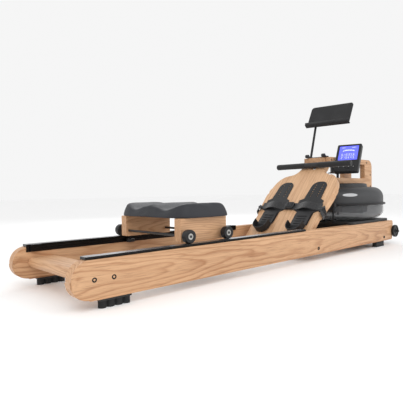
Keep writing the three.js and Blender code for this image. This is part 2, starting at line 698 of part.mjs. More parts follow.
// ---------------------------------------------------------------- tank and drive
/** The upper shell from its wall over the shoulder to the neck plateau, moved outwards by an offset. */
function domeProfile(offset) {
  const steps = 3;
  const dome = TANK_DOME_RADIUS;
  const shoulderZ = TANK_TOP_Z - TANK_NECK_HEIGHT;
  const points = [];
  for (let i = 0; i <= steps; i += 1) {
    const a = (i / steps) * Math.PI / 2;
    points.push([TANK_WALL_RADIUS - dome + (dome + offset) * Math.cos(a),
      shoulderZ - dome + (dome + offset) * Math.sin(a)]);
  }
  points.push([TANK_NECK_RADIUS + 10 + offset, shoulderZ + offset]);
  points.push([TANK_NECK_RADIUS + offset, TANK_TOP_Z + offset]);
  return points;
}

/** Tank shells: each is a bowl of even wall with a rim at the parting plane. */
function tankShells() {
  const w = TANK_WALL;
  const R = TANK_WALL_RADIUS;
  const ring = TANK_RING_Z;
  const floor = RAIL_TOP + TANK_BASE_THICKNESS + GAP;
  const bend = 50;
  const lower = [[0, floor]];
  lower.push([R - 78, floor]);
  for (let i = 1; i <= 3; i += 1) {
    const a = (i / 3) * Math.PI / 2;
    lower.push([R - 78 + 78 * Math.sin(a), floor + bend - bend * Math.cos(a)]);
  }
  lower.push([R, ring - 6], [R + TANK_RIM, ring - 5]);
  lower.push([R + TANK_RIM, ring - GAP / 2], [R - w, ring - GAP / 2]);
  for (let i = 3; i >= 1; i -= 1) {
    const a = (i / 3) * Math.PI / 2;
    lower.push([R - 78 + (78 - w) * Math.sin(a), floor + bend - (bend - w) * Math.cos(a)]);
  }
  lower.push([R - 78, floor + w], [0, floor + w]);
  piece('tank_lower_shell', turnedZ(lower, TANK_SIDES).translate(TANK_X, 0, 0), SMOKED);

  const top = TANK_TOP_Z;
  const bore = SHAFT_RADIUS + 6;
  const rim = R + TANK_RIM;
  const outer = [[rim, ring + GAP / 2], [rim, ring + 5], [R, ring + 6], ...domeProfile(0)];
  outer.push([bore, top], [bore, top - w], ...domeProfile(-w).reverse());
  outer.push([R - w, ring + GAP / 2], [rim, ring + GAP / 2]);
  piece('tank_upper_shell', turnedZ(outer, TANK_SIDES).translate(TANK_X, 0, 0), SMOKED);
}

/** Clamping ring round the two rims. */
function tankRing() {
  const inner = TANK_WALL_RADIUS + TANK_RIM + GAP;
  const outer = TANK_RING_RADIUS;
  const h = TANK_RING_HALF_HEIGHT;
  const z = TANK_RING_Z;
  const profile = [[inner, z - h], [outer - 2, z - h], [outer, z - h + 3], [outer, z + h - 3],
    [outer - 2, z + h], [inner, z + h], [inner, z - h]];
  piece('tank_ring', turnedZ(profile, TANK_SIDES).translate(TANK_X, 0, 0), BLACK_PLASTIC);
}

/** Clamps that hold the ring down to the tank's base, one on each side. */
function tankHoldDowns() {
  const angle = THREE.MathUtils.degToRad(HOLD_DOWN_ANGLE);
  const r = TANK_RING_RADIUS + GAP + 9;
  const x = TANK_X + r * Math.cos(angle);
  const y = Math.min(r * Math.sin(angle), HALF - 10);
  const baseTop = RAIL_TOP + TANK_BASE_THICKNESS;
  const ring = TANK_RING_Z;
  const clear = rodZ(TANK_X, 0, TANK_RING_RADIUS + GAP, RAIL_TOP, ring + 100, TANK_SIDES);
  for (const [side, sign] of SIDES) {
    const mid = sign * y;
    const rod = rodZ(x, mid, 5, baseTop + 3, ring + 6, 10);
    const foot = block(x - 16, x + 10, mid - 12, mid + 12, baseTop, baseTop + 7);
    const clamp = block(x - 12, x + 10, mid - 15, mid + 15, ring - 11, ring + 10);
    piece(`hold_down_${side}`, cut(join(rod, foot, clamp), clear), BLACK_PLASTIC);
  }
}

/** Impeller with its blades, hub and upright shaft. */
function impeller() {
  const blades = 6;
  const z0 = RAIL_TOP + TANK_BASE_THICKNESS + 36;
  const z1 = TANK_RING_Z - 12;
  const reach = TANK_WALL_RADIUS - 78;
  const parts = [rodZ(0, 0, 34, z0, z1, 20), rodZ(0, 0, SHAFT_RADIUS, z0 - 14, DECK_Z - 6, 16)];
  for (let i = 0; i < blades; i += 1) {
    const blade = roundedRect(20, z0, reach, z1, 8);
    parts.push(sideBoard(blade, -2.5, 2.5, 0, 1).rotateZ((i / blades) * 2 * Math.PI + 0.35));
  }
  piece('impeller', join(...parts).translate(TANK_X, 0, 0), BLACK_PLASTIC);
}

/** Drum that winds the strap, a cup that is open at the top for the recoil spring. */
function strapDrum() {
  const z0 = DRUM_Z;
  const z1 = DRUM_Z + DRUM_HEIGHT;
  const bore = SHAFT_RADIUS + GAP;
  const core = DRUM_CORE_RADIUS;
  const flange = DRUM_FLANGE_RADIUS;
  const profile = [[bore, z0], [flange, z0], [flange, z0 + 4], [core, z0 + 7], [core, z1 - 7],
    [flange, z1 - 4], [flange, z1], [core - 5, z1], [core - 5, z0 + 8], [16, z0 + 8], [16, z1 - 2],
    [bore, z1 - 2], [bore, z0]];
  piece('strap_drum', turnedZ(profile, 18).translate(TANK_X, 0, 0), BLACK_PLASTIC);
}

/** Flat spiral spring inside the drum that winds the strap back. */
function recoilSpring() {
  const turns = 3;
  const from = 19.5;
  const to = DRUM_CORE_RADIUS - 8;
  const place = (t) => {
    const r = from + (to - from) * t;
    const a = t * turns * 2 * Math.PI;
    return new THREE.Vector3(TANK_X + r * Math.cos(a), r * Math.sin(a), DRUM_Z + DRUM_HEIGHT / 2 + 4);
  };
  piece('recoil_spring', band(place, () => new THREE.Vector3(0, 0, 1), 22, 1.2, 36), STEEL);
}

/** Roller that turns the strap from the handle down towards the drum, on its own pin. */
function strapRoller() {
  const half = ROLLER_HALF;
  const r = ROLLER_RADIUS;
  const pin = ROLLER_PIN;
  const profile = [[0, -half - 6], [pin, -half - 6], [pin, -half], [r + 1.5, -half], [r - 2, -half + 3],
    [r - 2, half - 3], [r + 1.5, half], [pin, half], [pin, half + 6], [0, half + 6]];
  piece('strap_roller', turnedY(profile, 16).translate(ROLLER_X, 0, ROLLER_Z), BLACK_PLASTIC);
}

/** Strap from the handle over the roller, down through the deck and on to the drum, turning on edge. */
function pullStrap() {
  const lift = ROLLER_RADIUS - 2 + STRAP_THICKNESS / 2 + GAP;
  const windRadius = DRUM_CORE_RADIUS + STRAP_THICKNESS / 2 + GAP;
  const start = new THREE.Vector3(HANDLE_X + 25, 0, HANDLE_Z + 8);
  const windZ = DRUM_Z + DRUM_HEIGHT / 2;
  const end = new THREE.Vector3(TANK_X - 8, -windRadius, windZ);
  const over = (degrees) => {
    const a = THREE.MathUtils.degToRad(degrees);
    return new THREE.Vector3(ROLLER_X + lift * Math.cos(a), 0, ROLLER_Z + lift * Math.sin(a));
  };
  const leave = over(82);
  const points = [start, over(100), over(91), leave];
  [0.25, 0.5, 0.75].forEach((f) => points.push(leave.clone().lerp(end, f)));
  points.push(end);
  const path = new THREE.CatmullRomCurve3(points, false, 'centripetal');
  const flat = 0.46;
  const onEdge = 0.86;
  const across = (t) => {
    const turn = THREE.MathUtils.clamp((t - flat) / (onEdge - flat), 0, 1) * Math.PI / 2;
    return new THREE.Vector3(0, Math.cos(turn), Math.sin(turn));
  };
  piece('pull_strap', band((t) => path.getPoint(t), across, STRAP_WIDTH, STRAP_THICKNESS, 32), WEBBING);
}

// ---------------------------------------------------------------- tower
function sideFrameOutline() {
  const rearTop = DECK_REAR + 10;
  const rearLow = BOARD_X + BOARD_FALL + GAP * 2 + BEAM_Z;
  const inside = TOWER_FRONT - UPRIGHT_DEPTH;
  const beamTop = BEAM_Z + TOWER_BEAM;
  const corner = 45;
  const shape = new THREE.Shape();
  shape.moveTo(rearLow, BEAM_Z);
  shape.lineTo(inside, BEAM_Z);
  shape.lineTo(inside, UPRIGHT_FOOT_Z);
  shape.lineTo(TOWER_FRONT, UPRIGHT_FOOT_Z);
  shape.lineTo(TOWER_FRONT, DECK_TOP - corner);
  shape.absarc(TOWER_FRONT - corner, DECK_TOP - corner, corner, 0, Math.PI / 2, false);
  shape.lineTo(rearTop, DECK_TOP);
  shape.lineTo(rearTop, DECK_Z);
  shape.lineTo(inside, DECK_Z);
  shape.lineTo(inside, beamTop);
  shape.lineTo(rearLow + TOWER_BEAM, beamTop);
  return shape;
}

/** Space that the tank's upper shell and ring take, for scribing the uprights to it. */
function tankEnvelope() {
  const clear = 1.5;
  const profile = [[0, TANK_RING_Z - 20], [TANK_RING_RADIUS + clear, TANK_RING_Z - 20],
    [TANK_RING_RADIUS + clear, TANK_RING_Z + 12], ...domeProfile(clear), [0, TANK_TOP_Z + clear]];
  return turnedZ(profile, TANK_SIDES).translate(TANK_X, 0, 0);
}

function towerSides() {
  mirrored(TOWER_Y - TOWER_BOARD, TOWER_Y, (side, y0, y1) => {
    const frame = sideBoard(sideFrameOutline(), y0, y1, 1.5, 5);
    piece(`tower_side_${side}`, cut(frame, tankEnvelope()), WOOD);
  });
}

/** Deck between the side frames. */
function towerDeck() {
  const half = TOWER_Y - TOWER_BOARD - GAP;
  const front = TOWER_FRONT - UPRIGHT_DEPTH / 2;
  piece('tower_deck', flatBoard(roundedRect(DECK_REAR, -half, front, half, 2), DECK_Z, DECK_TOP, 0, 2), WOOD);
}

/** Two hooks for parking the handle, on one plate across the rear of the deck. */
function handleHooks() {
  const y = 55;
  const plateZ = DECK_TOP + GAP;
  const plate = block(DECK_REAR + 12, DECK_REAR + 34, -y - 10, y + 10, plateZ, plateZ + 4);
  const hooks = [-1, 1].map((sign) => {
    const shape = new THREE.Shape();
    shape.moveTo(DECK_REAR + 34, plateZ);
    shape.lineTo(DECK_REAR + 34, plateZ + 8);
    shape.lineTo(DECK_REAR + 8, plateZ + 8);
    shape.lineTo(DECK_REAR, plateZ + 13);
    shape.absarc(DECK_REAR - 8, plateZ + 10.5, 10, Math.PI * 0.28, Math.PI * 1.6, false);
    shape.lineTo(DECK_REAR + 10, plateZ);
    return sideBoard(shape, sign * y - 10, sign * y + 10, 0, 5);
  });
  piece('handle_hooks', join(plate, ...hooks), BLACK_PLASTIC);
}

// ---------------------------------------------------------------- handle
function handle() {
  const half = HANDLE_LENGTH / 2;
  const grip = 205;
  const core = rodY(HANDLE_X, HANDLE_Z, 12, -half + 3, half - 3, 16);
  const hub = rodY(HANDLE_X, HANDLE_Z, HANDLE_RADIUS - 1, -half + grip + GAP, half - grip - GAP, 20);
  const lug = block(HANDLE_X + 6, HANDLE_X + 25 - GAP, -STRAP_WIDTH / 2 - 3, STRAP_WIDTH / 2 + 3,
    HANDLE_Z + 1, HANDLE_Z + 14);
  piece('handle_bar', join(core, hub, lug), BLACK_PLASTIC);
  for (const [side, sign] of SIDES) {
    const r = HANDLE_RADIUS;
    const bore = clearRadius(12, 14);
    const a = half - grip;
    const profile = [[bore, a], [r - 1, a], [r, a + 1.5], [r, half - 4],
      [r - 4, half], [0, half], [0, half - 3 + GAP], [bore, half - 3 + GAP], [bore, a]];
    const sleeve = turnedY(profile, 14);
    if (sign < 0) {
      sleeve.rotateX(Math.PI);
    }
    piece(`handle_grip_${side}`, sleeve.translate(HANDLE_X, 0, HANDLE_Z), FOAM);
  }
}

// ---------------------------------------------------------------- monitor
const MONITOR_CENTRE = new THREE.Vector3(DECK_REAR + 58, -TOWER_Y - 82, DECK_TOP - 8);

function monitor() {
  const group = facing(MONITOR_CENTRE, MONITOR_SWIVEL, MONITOR_TILT);
  const w = MONITOR_WIDTH / 2;
  const h = MONITOR_HEIGHT / 2;
  const d = MONITOR_DEPTH;
  const screenX = 55;
  const screenLow = -16;
  const screenHigh = 80;
  const recess = 3;
  const buttonY = -62;
  const buttonsX = [-42, -14, 14, 42];
  const buttonR = 6;
  const hingeY = 52;
  const hingeZ = -d - 14;
  const shell = slab(roundedRect(-w, -h, w, h, 9), d, 2.5, 3).translate(0, 0, -d);
  const pocket = block(-screenX, screenX, screenLow, screenHigh, -recess, 5);
  const wells = buttonsX.map((x) => rodZ(x, buttonY, buttonR + 0.5, -5, 5, 10));
  const back = slab(roundedRect(-30, hingeY - 26, 30, hingeY + 18, 8), 6, 0, 4).translate(0, 0, -d - 5);
  const ears = hingeEars(0, hingeY, hingeZ, 21, -d + 1);
  const pin = rodAcross(0, hingeY, hingeZ, HINGE_PIN, 46, 12);
  const housing = join(cut(shell, pocket, ...wells), back, ...ears, pin);
  piece('monitor_housing', housing, BLACK_PLASTIC, group);
  const glass = block(-screenX + GAP, screenX - GAP, screenLow + GAP, screenHigh - GAP, -recess + GAP, -0.6);
  piece('monitor_screen', glass, SCREEN_BLUE, group);
  buttonsX.forEach((x, i) => {
    const button = rodZ(x, buttonY, buttonR, -2.6, 1.6, 10);
    piece(`monitor_button_${i + 1}`, button, PALE_BUTTON, group);
  });
  monitorArm(group, hingeY, hingeZ);
}

/** Post that turns on the tower and carries the monitor's tilt barrel. */
function monitorArm(group, hingeY, hingeZ) {
  const barrel = rodAcross(0, hingeY, hingeZ, 8, 34, 16);
  const bore = rodAcross(0, hingeY, hingeZ, HINGE_PIN + GAP + 0.1, 60, 12);
  barrel.applyMatrix4(group.matrix);
  bore.applyMatrix4(group.matrix);
  const hinge = new THREE.Vector3(0, hingeY, hingeZ).applyMatrix4(group.matrix);
  const foot = new THREE.Vector3(hinge.x + 34, -TOWER_Y + TOWER_BOARD / 2, DECK_TOP + GAP);
  const disc = rodZ(foot.x, foot.y, 15, foot.z, foot.z + 6, 16);
  const knee = new THREE.Vector3(foot.x, foot.y, hinge.z + 2);
  const post = rodZ(foot.x, foot.y, 8, foot.z + 3, knee.z + 6, 14);
  const swivel = THREE.MathUtils.degToRad(MONITOR_SWIVEL);
  const behind = new THREE.Vector3(Math.cos(swivel), Math.sin(swivel), 0).multiplyScalar(ARM_ELBOW);
  const elbow = hinge.clone().add(behind);
  const stub = rodBetween(hinge, elbow.clone().addScaledVector(behind, 6 / ARM_ELBOW), 6.5, 12);
  const bar = rodBetween(elbow, knee, 6.5, 12);
  piece('monitor_arm', shaped(solid(join(disc, post, bar, stub, barrel)).subtract(solid(bore))), BLACK_METAL);
}

// ---------------------------------------------------------------- tablet holder
function tabletHolder() {
  const footPoint = new THREE.Vector3(DECK_REAR + 56, TOWER_Y - TOWER_BOARD / 2, DECK_TOP + GAP);
  const traySpot = new THREE.Vector3(DECK_REAR + 80, -28, DECK_TOP + 197);
  const group = facing(traySpot, TRAY_SWIVEL, TRAY_TILT);
  const plateT = 5;
  const lip = 24;
  const clampX = -TRAY_WIDTH / 2 + 48;
  const clampY = 26;
  const clampZ = -plateT - 13;
  const plate = slab(roundedRect(-TRAY_WIDTH / 2, 0, TRAY_WIDTH / 2, TRAY_HEIGHT, 18), plateT, 1, 5)
    .translate(0, 0, -plateT);
  const ledge = block(-TRAY_WIDTH / 2 - 4, TRAY_WIDTH / 2 + 4, -2, 4, -plateT, lip);
  const rim = block(-TRAY_WIDTH / 2 - 4, TRAY_WIDTH / 2 + 4, -2, 13, lip - 4, lip);
  const ears = hingeEars(clampX, clampY, clampZ, 18, -plateT + 1);
  const pin = rodAcross(clampX, clampY, clampZ, HINGE_PIN, 40, 12);
  piece('tablet_tray', join(plate, ledge, rim, ...ears, pin), BLACK_PLASTIC, group);

  const barrel = rodAcross(clampX, clampY, clampZ, 9, 28, 16);
  const bore = rodAcross(clampX, clampY, clampZ, HINGE_PIN + GAP + 0.1, 60, 12);
  barrel.applyMatrix4(group.matrix);
  bore.applyMatrix4(group.matrix);
  const top = new THREE.Vector3(clampX, clampY, clampZ).applyMatrix4(group.matrix);
  const disc = rodZ(footPoint.x, footPoint.y, 16, footPoint.z, footPoint.z + 7, 16);
  const low = footPoint.clone().setZ(footPoint.z + 3);
  const pole = rodBetween(low, top, POLE_RADIUS, 14);
  piece('holder_pole', shaped(solid(join(disc, pole, barrel)).subtract(solid(bore))), BLACK_METAL);
}

// ---------------------------------------------------------------- assembly
sideRails();
rearCrossmember();
middleCrossmember();
frontCrossmember();
rearFeet();
frontFeet();
tracks();
tankBase();
transportWheels();
seatBlocks();
seatAxles();
seatWheels();
guideRollers();
seatCushion();
footboard();
footPlates();
heelPlates();
footStrap();
tankShells();
tankRing();
tankHoldDowns();
impeller();
strapDrum();
recoilSpring();
strapRoller();
pullStrap();
towerSides();
towerDeck();
handleHooks();
handle();
monitor();
tabletHolder();

// The origin is the middle of the base, under the middle of the whole machine.
machine.updateMatrixWorld(true);
const extent = new THREE.Box3().setFromObject(machine, true);
machine.position.x = -(extent.min.x + extent.max.x) / 2;
machine.updateMatrixWorld(true);

export default machine;
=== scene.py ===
"""Finished surfaces of a wooden water-resistance rowing machine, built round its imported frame.

Metres, +X from the seat towards the tank, +Y to the rower's left, +Z up. Places come from the frame's own
boxes. Each sub-assembly is a class that holds its sizes and makes its pieces; main() runs them in order.
"""

import functools
import json
import logging
import math
from dataclasses import dataclass
from enum import Enum
from typing import Any, Callable, Iterable, Sequence

import bmesh
import bpy
from mathutils import Matrix, Vector


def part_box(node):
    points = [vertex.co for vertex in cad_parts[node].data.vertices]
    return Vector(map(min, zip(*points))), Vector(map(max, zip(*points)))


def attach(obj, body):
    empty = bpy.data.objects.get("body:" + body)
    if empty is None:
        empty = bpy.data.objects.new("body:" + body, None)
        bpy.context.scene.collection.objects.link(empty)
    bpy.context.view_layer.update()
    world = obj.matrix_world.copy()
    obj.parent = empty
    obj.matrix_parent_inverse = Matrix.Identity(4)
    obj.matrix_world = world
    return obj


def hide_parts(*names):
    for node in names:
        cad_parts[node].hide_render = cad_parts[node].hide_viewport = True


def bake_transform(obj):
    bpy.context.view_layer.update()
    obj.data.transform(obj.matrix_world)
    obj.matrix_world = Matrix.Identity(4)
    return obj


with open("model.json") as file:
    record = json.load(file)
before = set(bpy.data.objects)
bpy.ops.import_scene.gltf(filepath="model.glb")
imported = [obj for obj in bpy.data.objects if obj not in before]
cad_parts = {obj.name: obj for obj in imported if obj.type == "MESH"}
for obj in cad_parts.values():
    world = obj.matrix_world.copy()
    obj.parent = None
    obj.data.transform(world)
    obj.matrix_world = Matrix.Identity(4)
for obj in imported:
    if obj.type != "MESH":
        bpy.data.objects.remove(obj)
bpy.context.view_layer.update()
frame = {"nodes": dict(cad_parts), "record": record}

LOG = logging.getLogger("rower")
MM = 0.001
TURN = 2 * math.pi
SIDES = (("left", 1), ("right", -1))
BEHAVIOUR = frame["record"]["behaviour"]
BODY_OF = {node: body for body, nodes in BEHAVIOUR["bodies"].items() for node in nodes}

Colour = tuple[float, float, float]
Profile = Sequence[tuple[float, float]]
Outline = list[tuple[float, float]]


# ---------------------------------------------------------------- finishes
class Wiring:
    """Wires up one procedural material round its principled shader."""

    def __init__(self, name: str) -> None:
        """Starts a material.

        Args:
            name: the material's name.
        """
        self.material = bpy.data.materials.new(name)
        self.material.use_nodes = True
        self.tree = self.material.node_tree
        self.shader = self.tree.nodes["Principled BSDF"]
        self.place = self.put("TexCoord", {}).outputs["Object"]

    def feed(self, socket: bpy.types.NodeSocket, value: Any) -> None:
        """Links a socket to another one, or sets its value.

        Args:
            socket: the input socket.
            value: an output socket, or a plain value.
        """
        if isinstance(value, bpy.types.NodeSocket):
            self.tree.links.new(value, socket)
        else:
            socket.default_value = value

    def put(self, kind: str, inputs: dict[Any, Any], **settings: Any) -> bpy.types.Node:
        """Adds a node.

        Args:
            kind: the node's type without its ShaderNode prefix.
            inputs: values or links by input name or number.
            **settings: the node's own properties.

        Returns:
            The new node.
        """
        node = self.tree.nodes.new("ShaderNode" + kind)
        for key, value in settings.items():
            setattr(node, key, value)
        for key, value in inputs.items():
            self.feed(node.inputs[key], value)
        return node

    def sum(self, operation: str, first: Any, second: Any = 0.0) -> bpy.types.NodeSocket:
        """One step of arithmetic.

        Args:
            operation: the name of the operation.
            first: left value or socket.
            second: right value or socket.

        Returns:
            The result's socket.
        """
        return self.put("Math", {0: first, 1: second}, operation=operation).outputs[0]

    def spread(self, scale: Sequence[float], turn: Sequence[float] = (0, 0, 0)) -> bpy.types.NodeSocket:
        """The place on the piece, turned and then stretched.

        Args:
            scale: stretch along each axis after the turn.
            turn: angles about X, Y and Z.

        Returns:
            The vector's socket.
        """
        turned = self.put("Mapping", {"Vector": self.place, "Rotation": turn}).outputs[0]
        return self.put("Mapping", {"Vector": turned, "Scale": scale}).outputs[0]

    def noise(self, place: Any, scale: float, detail: float = 3.0) -> bpy.types.NodeSocket:
        """Cloudy noise from 0 to 1.

        Args:
            place: vector socket.
            scale: features per unit.
            detail: octaves.

        Returns:
            The value's socket.
        """
        node = self.put("TexNoise", {"Vector": place, "Scale": scale, "Detail": detail})
        return node.outputs["Fac"]

    def ramp(self, value: Any, stops: Sequence[tuple[float, Colour]]) -> bpy.types.NodeSocket:
        """A colour ramp.

        Args:
            value: the ramp's input.
            stops: places and colours.

        Returns:
            The colour's socket.
        """
        node = self.put("ValToRGB", {"Fac": value})
        ramp = node.color_ramp
        while len(ramp.elements) < len(stops):
            ramp.elements.new(0.5)
        for element, (place, colour) in zip(ramp.elements, stops):
            element.position = place
            element.color = (*colour, 1.0)
        return node.outputs["Color"]

    def mix(self, share: Any, first: Any, second: Any) -> bpy.types.NodeSocket:
        """Mixes two colours.

        Args:
            share: how much of the second.
            first: colour or socket.
            second: colour or socket.

        Returns:
            The colour's socket.
        """
        full = [(*c, 1.0) if isinstance(c, tuple) else c for c in (first, second)]
        node = self.put("Mix", {0: share, 6: full[0], 7: full[1]}, data_type="RGBA")
        return node.outputs[2]

    def bump(self, height: Any, depth: float, strength: float = 1.0) -> None:
        """Raises the surface by a height.

        Args:
            height: socket of a value from 0 to 1.
            depth: metres.
            strength: share of the effect.
        """
        node = self.put("Bump", {"Height": height, "Distance": depth, "Strength": strength})
        self.feed(self.shader.inputs["Normal"], node.outputs[0])

    def set(self, **values: Any) -> None:
        """Feeds the shader's inputs.

        Args:
            **values: values or sockets by input name, with an underscore for each space.
        """
        for name, value in values.items():
            full = (*value, 1.0) if isinstance(value, tuple) and len(value) == 3 else value
            self.feed(self.shader.inputs[name.replace("_", " ")], full)


class Grain(Enum):
    """How a board's grain runs, as the turn that brings it to X."""

    ALONG = (0.0, 0.0, 0.0)
    ACROSS = (0.0, 0.0, -math.pi / 2)
    UPRIGHT = (0.0, math.pi / 2, 0.0)
    SLOPING = (0.0, math.pi / 4, 0.0)


@dataclass(frozen=True)
class Timber:
    """Satin-lacquered ash: growth rings cut by the faces, open pores and slow changes of tone."""

    name: str
    grain: Grain = Grain.ALONG
    pith: tuple[float, float] = (0.0, 0.0)
    taper: float = 0.05
    ring: float = 0.009
    contrast: float = 1.0
    early: Colour = (0.66, 0.40, 0.225)
    late: Colour = (0.37, 0.165, 0.072)

    @functools.cache
    def material(self) -> bpy.types.Material:
        """Makes the material, once for each finish.

        Returns:
            The material.
        """
        w = Wiring(self.name)
        turn = self.grain.value
        lengthwise = w.spread((1.0, 1.0, 1.0), turn)
        axes = w.put("SeparateXYZ", {0: lengthwise}).outputs
        slow = w.noise(w.spread((1.5, 9.0, 9.0), turn), 1.0, 2.0)
        quick = w.noise(w.spread((9.0, 60.0, 60.0), turn), 1.0, 3.0)
        wander = w.sum("MULTIPLY", w.sum("SUBTRACT", slow, 0.5), 0.075)
        ripple = w.sum("MULTIPLY", w.sum("SUBTRACT", quick, 0.5), 0.007)
        drift = w.sum("MULTIPLY", axes[0], self.taper)
        wide = w.sum("ADD", w.sum("SUBTRACT", w.sum("SUBTRACT", axes[1], self.pith[0]), drift), wander)
        high = w.sum("SUBTRACT", axes[2], self.pith[1])
        radius = w.sum("SQRT", w.sum("ADD", w.sum("POWER", w.sum("ABSOLUTE", wide), 2.0),
                                     w.sum("POWER", w.sum("ABSOLUTE", high), 2.0)))
        years = w.sum("DIVIDE", w.sum("ADD", radius, ripple), self.ring)
        season = w.sum("FRACT", years)
        latewood = w.ramp(season, ((0.0, (0.25,) * 3), (0.12, (0.0,) * 3), (0.55, (0.16,) * 3),
                                   (0.88, (1.0,) * 3), (1.0, (0.25,) * 3)))
        pores = w.noise(w.spread((14.0, 620.0, 620.0), turn), 1.0, 2.0)
        streaks = w.noise(w.spread((2.2, 75.0, 75.0), turn), 1.0, 4.0)
        blotch = w.noise(lengthwise, 2.6, 2.0)
        depth = w.sum("MULTIPLY", w.put("RGBToBW", {0: latewood}).outputs[0], 0.86 * self.contrast)
        base = w.mix(depth, self.early, self.late)
        tone = w.mix(w.ramp(streaks, ((0.35, (0.0,) * 3), (0.75, (0.42,) * 3))), base,
                     tuple(0.82 * c for c in self.late))
        warm = w.mix(w.ramp(blotch, ((0.3, (0.0,) * 3), (0.75, (0.35,) * 3))), tone, (0.72, 0.44, 0.25))
        open_pore = w.ramp(pores, ((0.30, (0.55,) * 3), (0.45, (0.0,) * 3)))
        colour = w.mix(open_pore, warm, tuple(0.62 * c for c in self.late))
        w.set(Base_Color=colour, Coat_Weight=0.06, Coat_Roughness=0.3, Specular_IOR_Level=0.3)
        w.set(Roughness=w.put("MapRange", {0: streaks, 3: 0.36, 4: 0.52}).outputs[0])
        w.bump(w.sum("SUBTRACT", pores, w.sum("MULTIPLY", depth, 0.4)), 0.00025, 0.6)
        return w.material


@dataclass(frozen=True)
class Moulded:
    """Plastic, rubber, foam skin or paint, with a fine texture and a painted highlight that makes sharp edges
    paler.
    """

    name: str
    colour: Colour = (0.017, 0.017, 0.018)
    # paler colour that the painted edge highlight mixes in on sharp edges
    edge_highlight: Colour = (0.05, 0.05, 0.053)
    roughness: float = 0.45
    grain: float = 900.0
    depth: float = 0.00012
    metallic: float = 0.0
    coat: float = 0.0
    sheen: float = 0.0
    specular: float = 0.28

    @functools.cache
    def material(self) -> bpy.types.Material:
        """Makes the material, once for each finish.

        Returns:
            The material.
        """
        w = Wiring(self.name)
        fine = w.noise(w.place, self.grain, 2.0)
        cloud = w.noise(w.place, 14.0, 3.0)
        # Painted highlight: sharp convex edges, found by their pointiness, turn towards the paler edge
        # colour.
        edge = w.put("NewGeometry", {}).outputs["Pointiness"]
        edge_highlight_mask = w.ramp(w.sum("ADD", edge, w.sum("MULTIPLY", w.sum("SUBTRACT", cloud, 0.5), 0.06)),
                     ((0.53, (0.0,) * 3), (0.60, (0.8,) * 3)))
        tone = w.mix(w.ramp(cloud, ((0.3, (0.0,) * 3), (0.7, (0.35,) * 3))), self.colour,
                     tuple(1.5 * c for c in self.colour))
        w.set(Base_Color=w.mix(edge_highlight_mask, tone, self.edge_highlight), Metallic=self.metallic,
              Coat_Weight=self.coat, Coat_Roughness=0.15, Sheen_Weight=self.sheen,
              Specular_IOR_Level=self.specular)
        low, high = self.roughness - 0.06, min(1.0, self.roughness + 0.08)
        w.set(Roughness=w.put("MapRange", {0: cloud, 3: low, 4: high}).outputs[0])
        w.bump(fine, self.depth)
        return w.material


@dataclass(frozen=True)
class LeatherGrain:
    """Integral-skin foam: pebbled leather grain over a soft shine."""

    name: str
    colour: Colour = (0.020, 0.021, 0.025)
    roughness: float = 0.50

    @functools.cache
    def material(self) -> bpy.types.Material:
        """Makes the material, once for each finish.

        Returns:
            The material.
        """
        w = Wiring(self.name)
        cells = w.put("TexVoronoi", {"Vector": w.place, "Scale": 420.0}, feature="DISTANCE_TO_EDGE")
        pebble = w.ramp(cells.outputs["Distance"], ((0.0, (0.0,) * 3), (0.22, (1.0,) * 3)))
        cloud = w.noise(w.place, 9.0, 3.0)
        w.set(Base_Color=w.mix(cloud, self.colour, tuple(1.6 * c for c in self.colour)),
              Specular_IOR_Level=0.32)
        low, high = self.roughness - 0.05, self.roughness + 0.1
        w.set(Roughness=w.put("MapRange", {0: cloud, 3: low, 4: high}).outputs[0])
        w.bump(w.put("RGBToBW", {0: pebble}).outputs[0], 0.00018, 0.7)
        return w.material


@dataclass(frozen=True)
class Weave:
    """Ribbed webbing: warp ribs along the strap and picks across it."""

    name: str
    turn: tuple[float, float, float] = (0.0, 0.0, 0.0)
    rib: float = 0.0022
    pick: float = 0.0016
    colour: Colour = (0.014, 0.014, 0.015)

    @functools.cache
    def material(self) -> bpy.types.Material:
        """Makes the material, once for each finish.

        Returns:
            The material.
        """
        w = Wiring(self.name)
        axes = w.put("SeparateXYZ", {0: w.spread((1.0, 1.0, 1.0), self.turn)}).outputs
        picks = w.sum("SINE", w.sum("MULTIPLY", axes[0], TURN / self.pick))
        ribs = w.sum("SINE", w.sum("MULTIPLY", axes[1], TURN / self.rib))
        cloth = w.sum("MULTIPLY", w.sum("ADD", w.sum("MULTIPLY", picks, ribs), 1.0), 0.5)
        fuzz = w.noise(w.place, 260.0, 3.0)
        faded = tuple(3.2 * c for c in self.colour)
        w.set(Base_Color=w.mix(w.sum("MULTIPLY", cloth, fuzz), self.colour, faded),
              Roughness=0.82, Sheen_Weight=0.35, Sheen_Roughness=0.5, Specular_IOR_Level=0.25)
        w.bump(cloth, 0.0004, 0.8)
        return w.material


@dataclass(frozen=True)
class Smoked:
    """Smoked clear plastic, glossy, with faint flow marks round the moulding."""

    name: str
    colour: Colour
    alpha: float
    roughness: float = 0.14
    coat: float = 0.2

    @functools.cache
    def material(self) -> bpy.types.Material:
        """Makes the material, once for each finish.

        Returns:
            The material.
        """
        w = Wiring(self.name)
        flow = w.noise(w.spread((5.0, 5.0, 34.0)), 1.0, 3.0)
        haze = w.noise(w.place, 24.0, 4.0)
        w.set(Base_Color=w.mix(flow, self.colour, tuple(1.7 * c for c in self.colour)), Alpha=self.alpha,
              Coat_Weight=self.coat, Coat_Roughness=0.12, IOR=1.45, Specular_IOR_Level=0.4)
        w.set(Roughness=w.put("MapRange", {0: haze, 3: self.roughness, 4: self.roughness + 0.12}).outputs[0])
        w.bump(flow, 0.0006, 0.35)
        return w.material


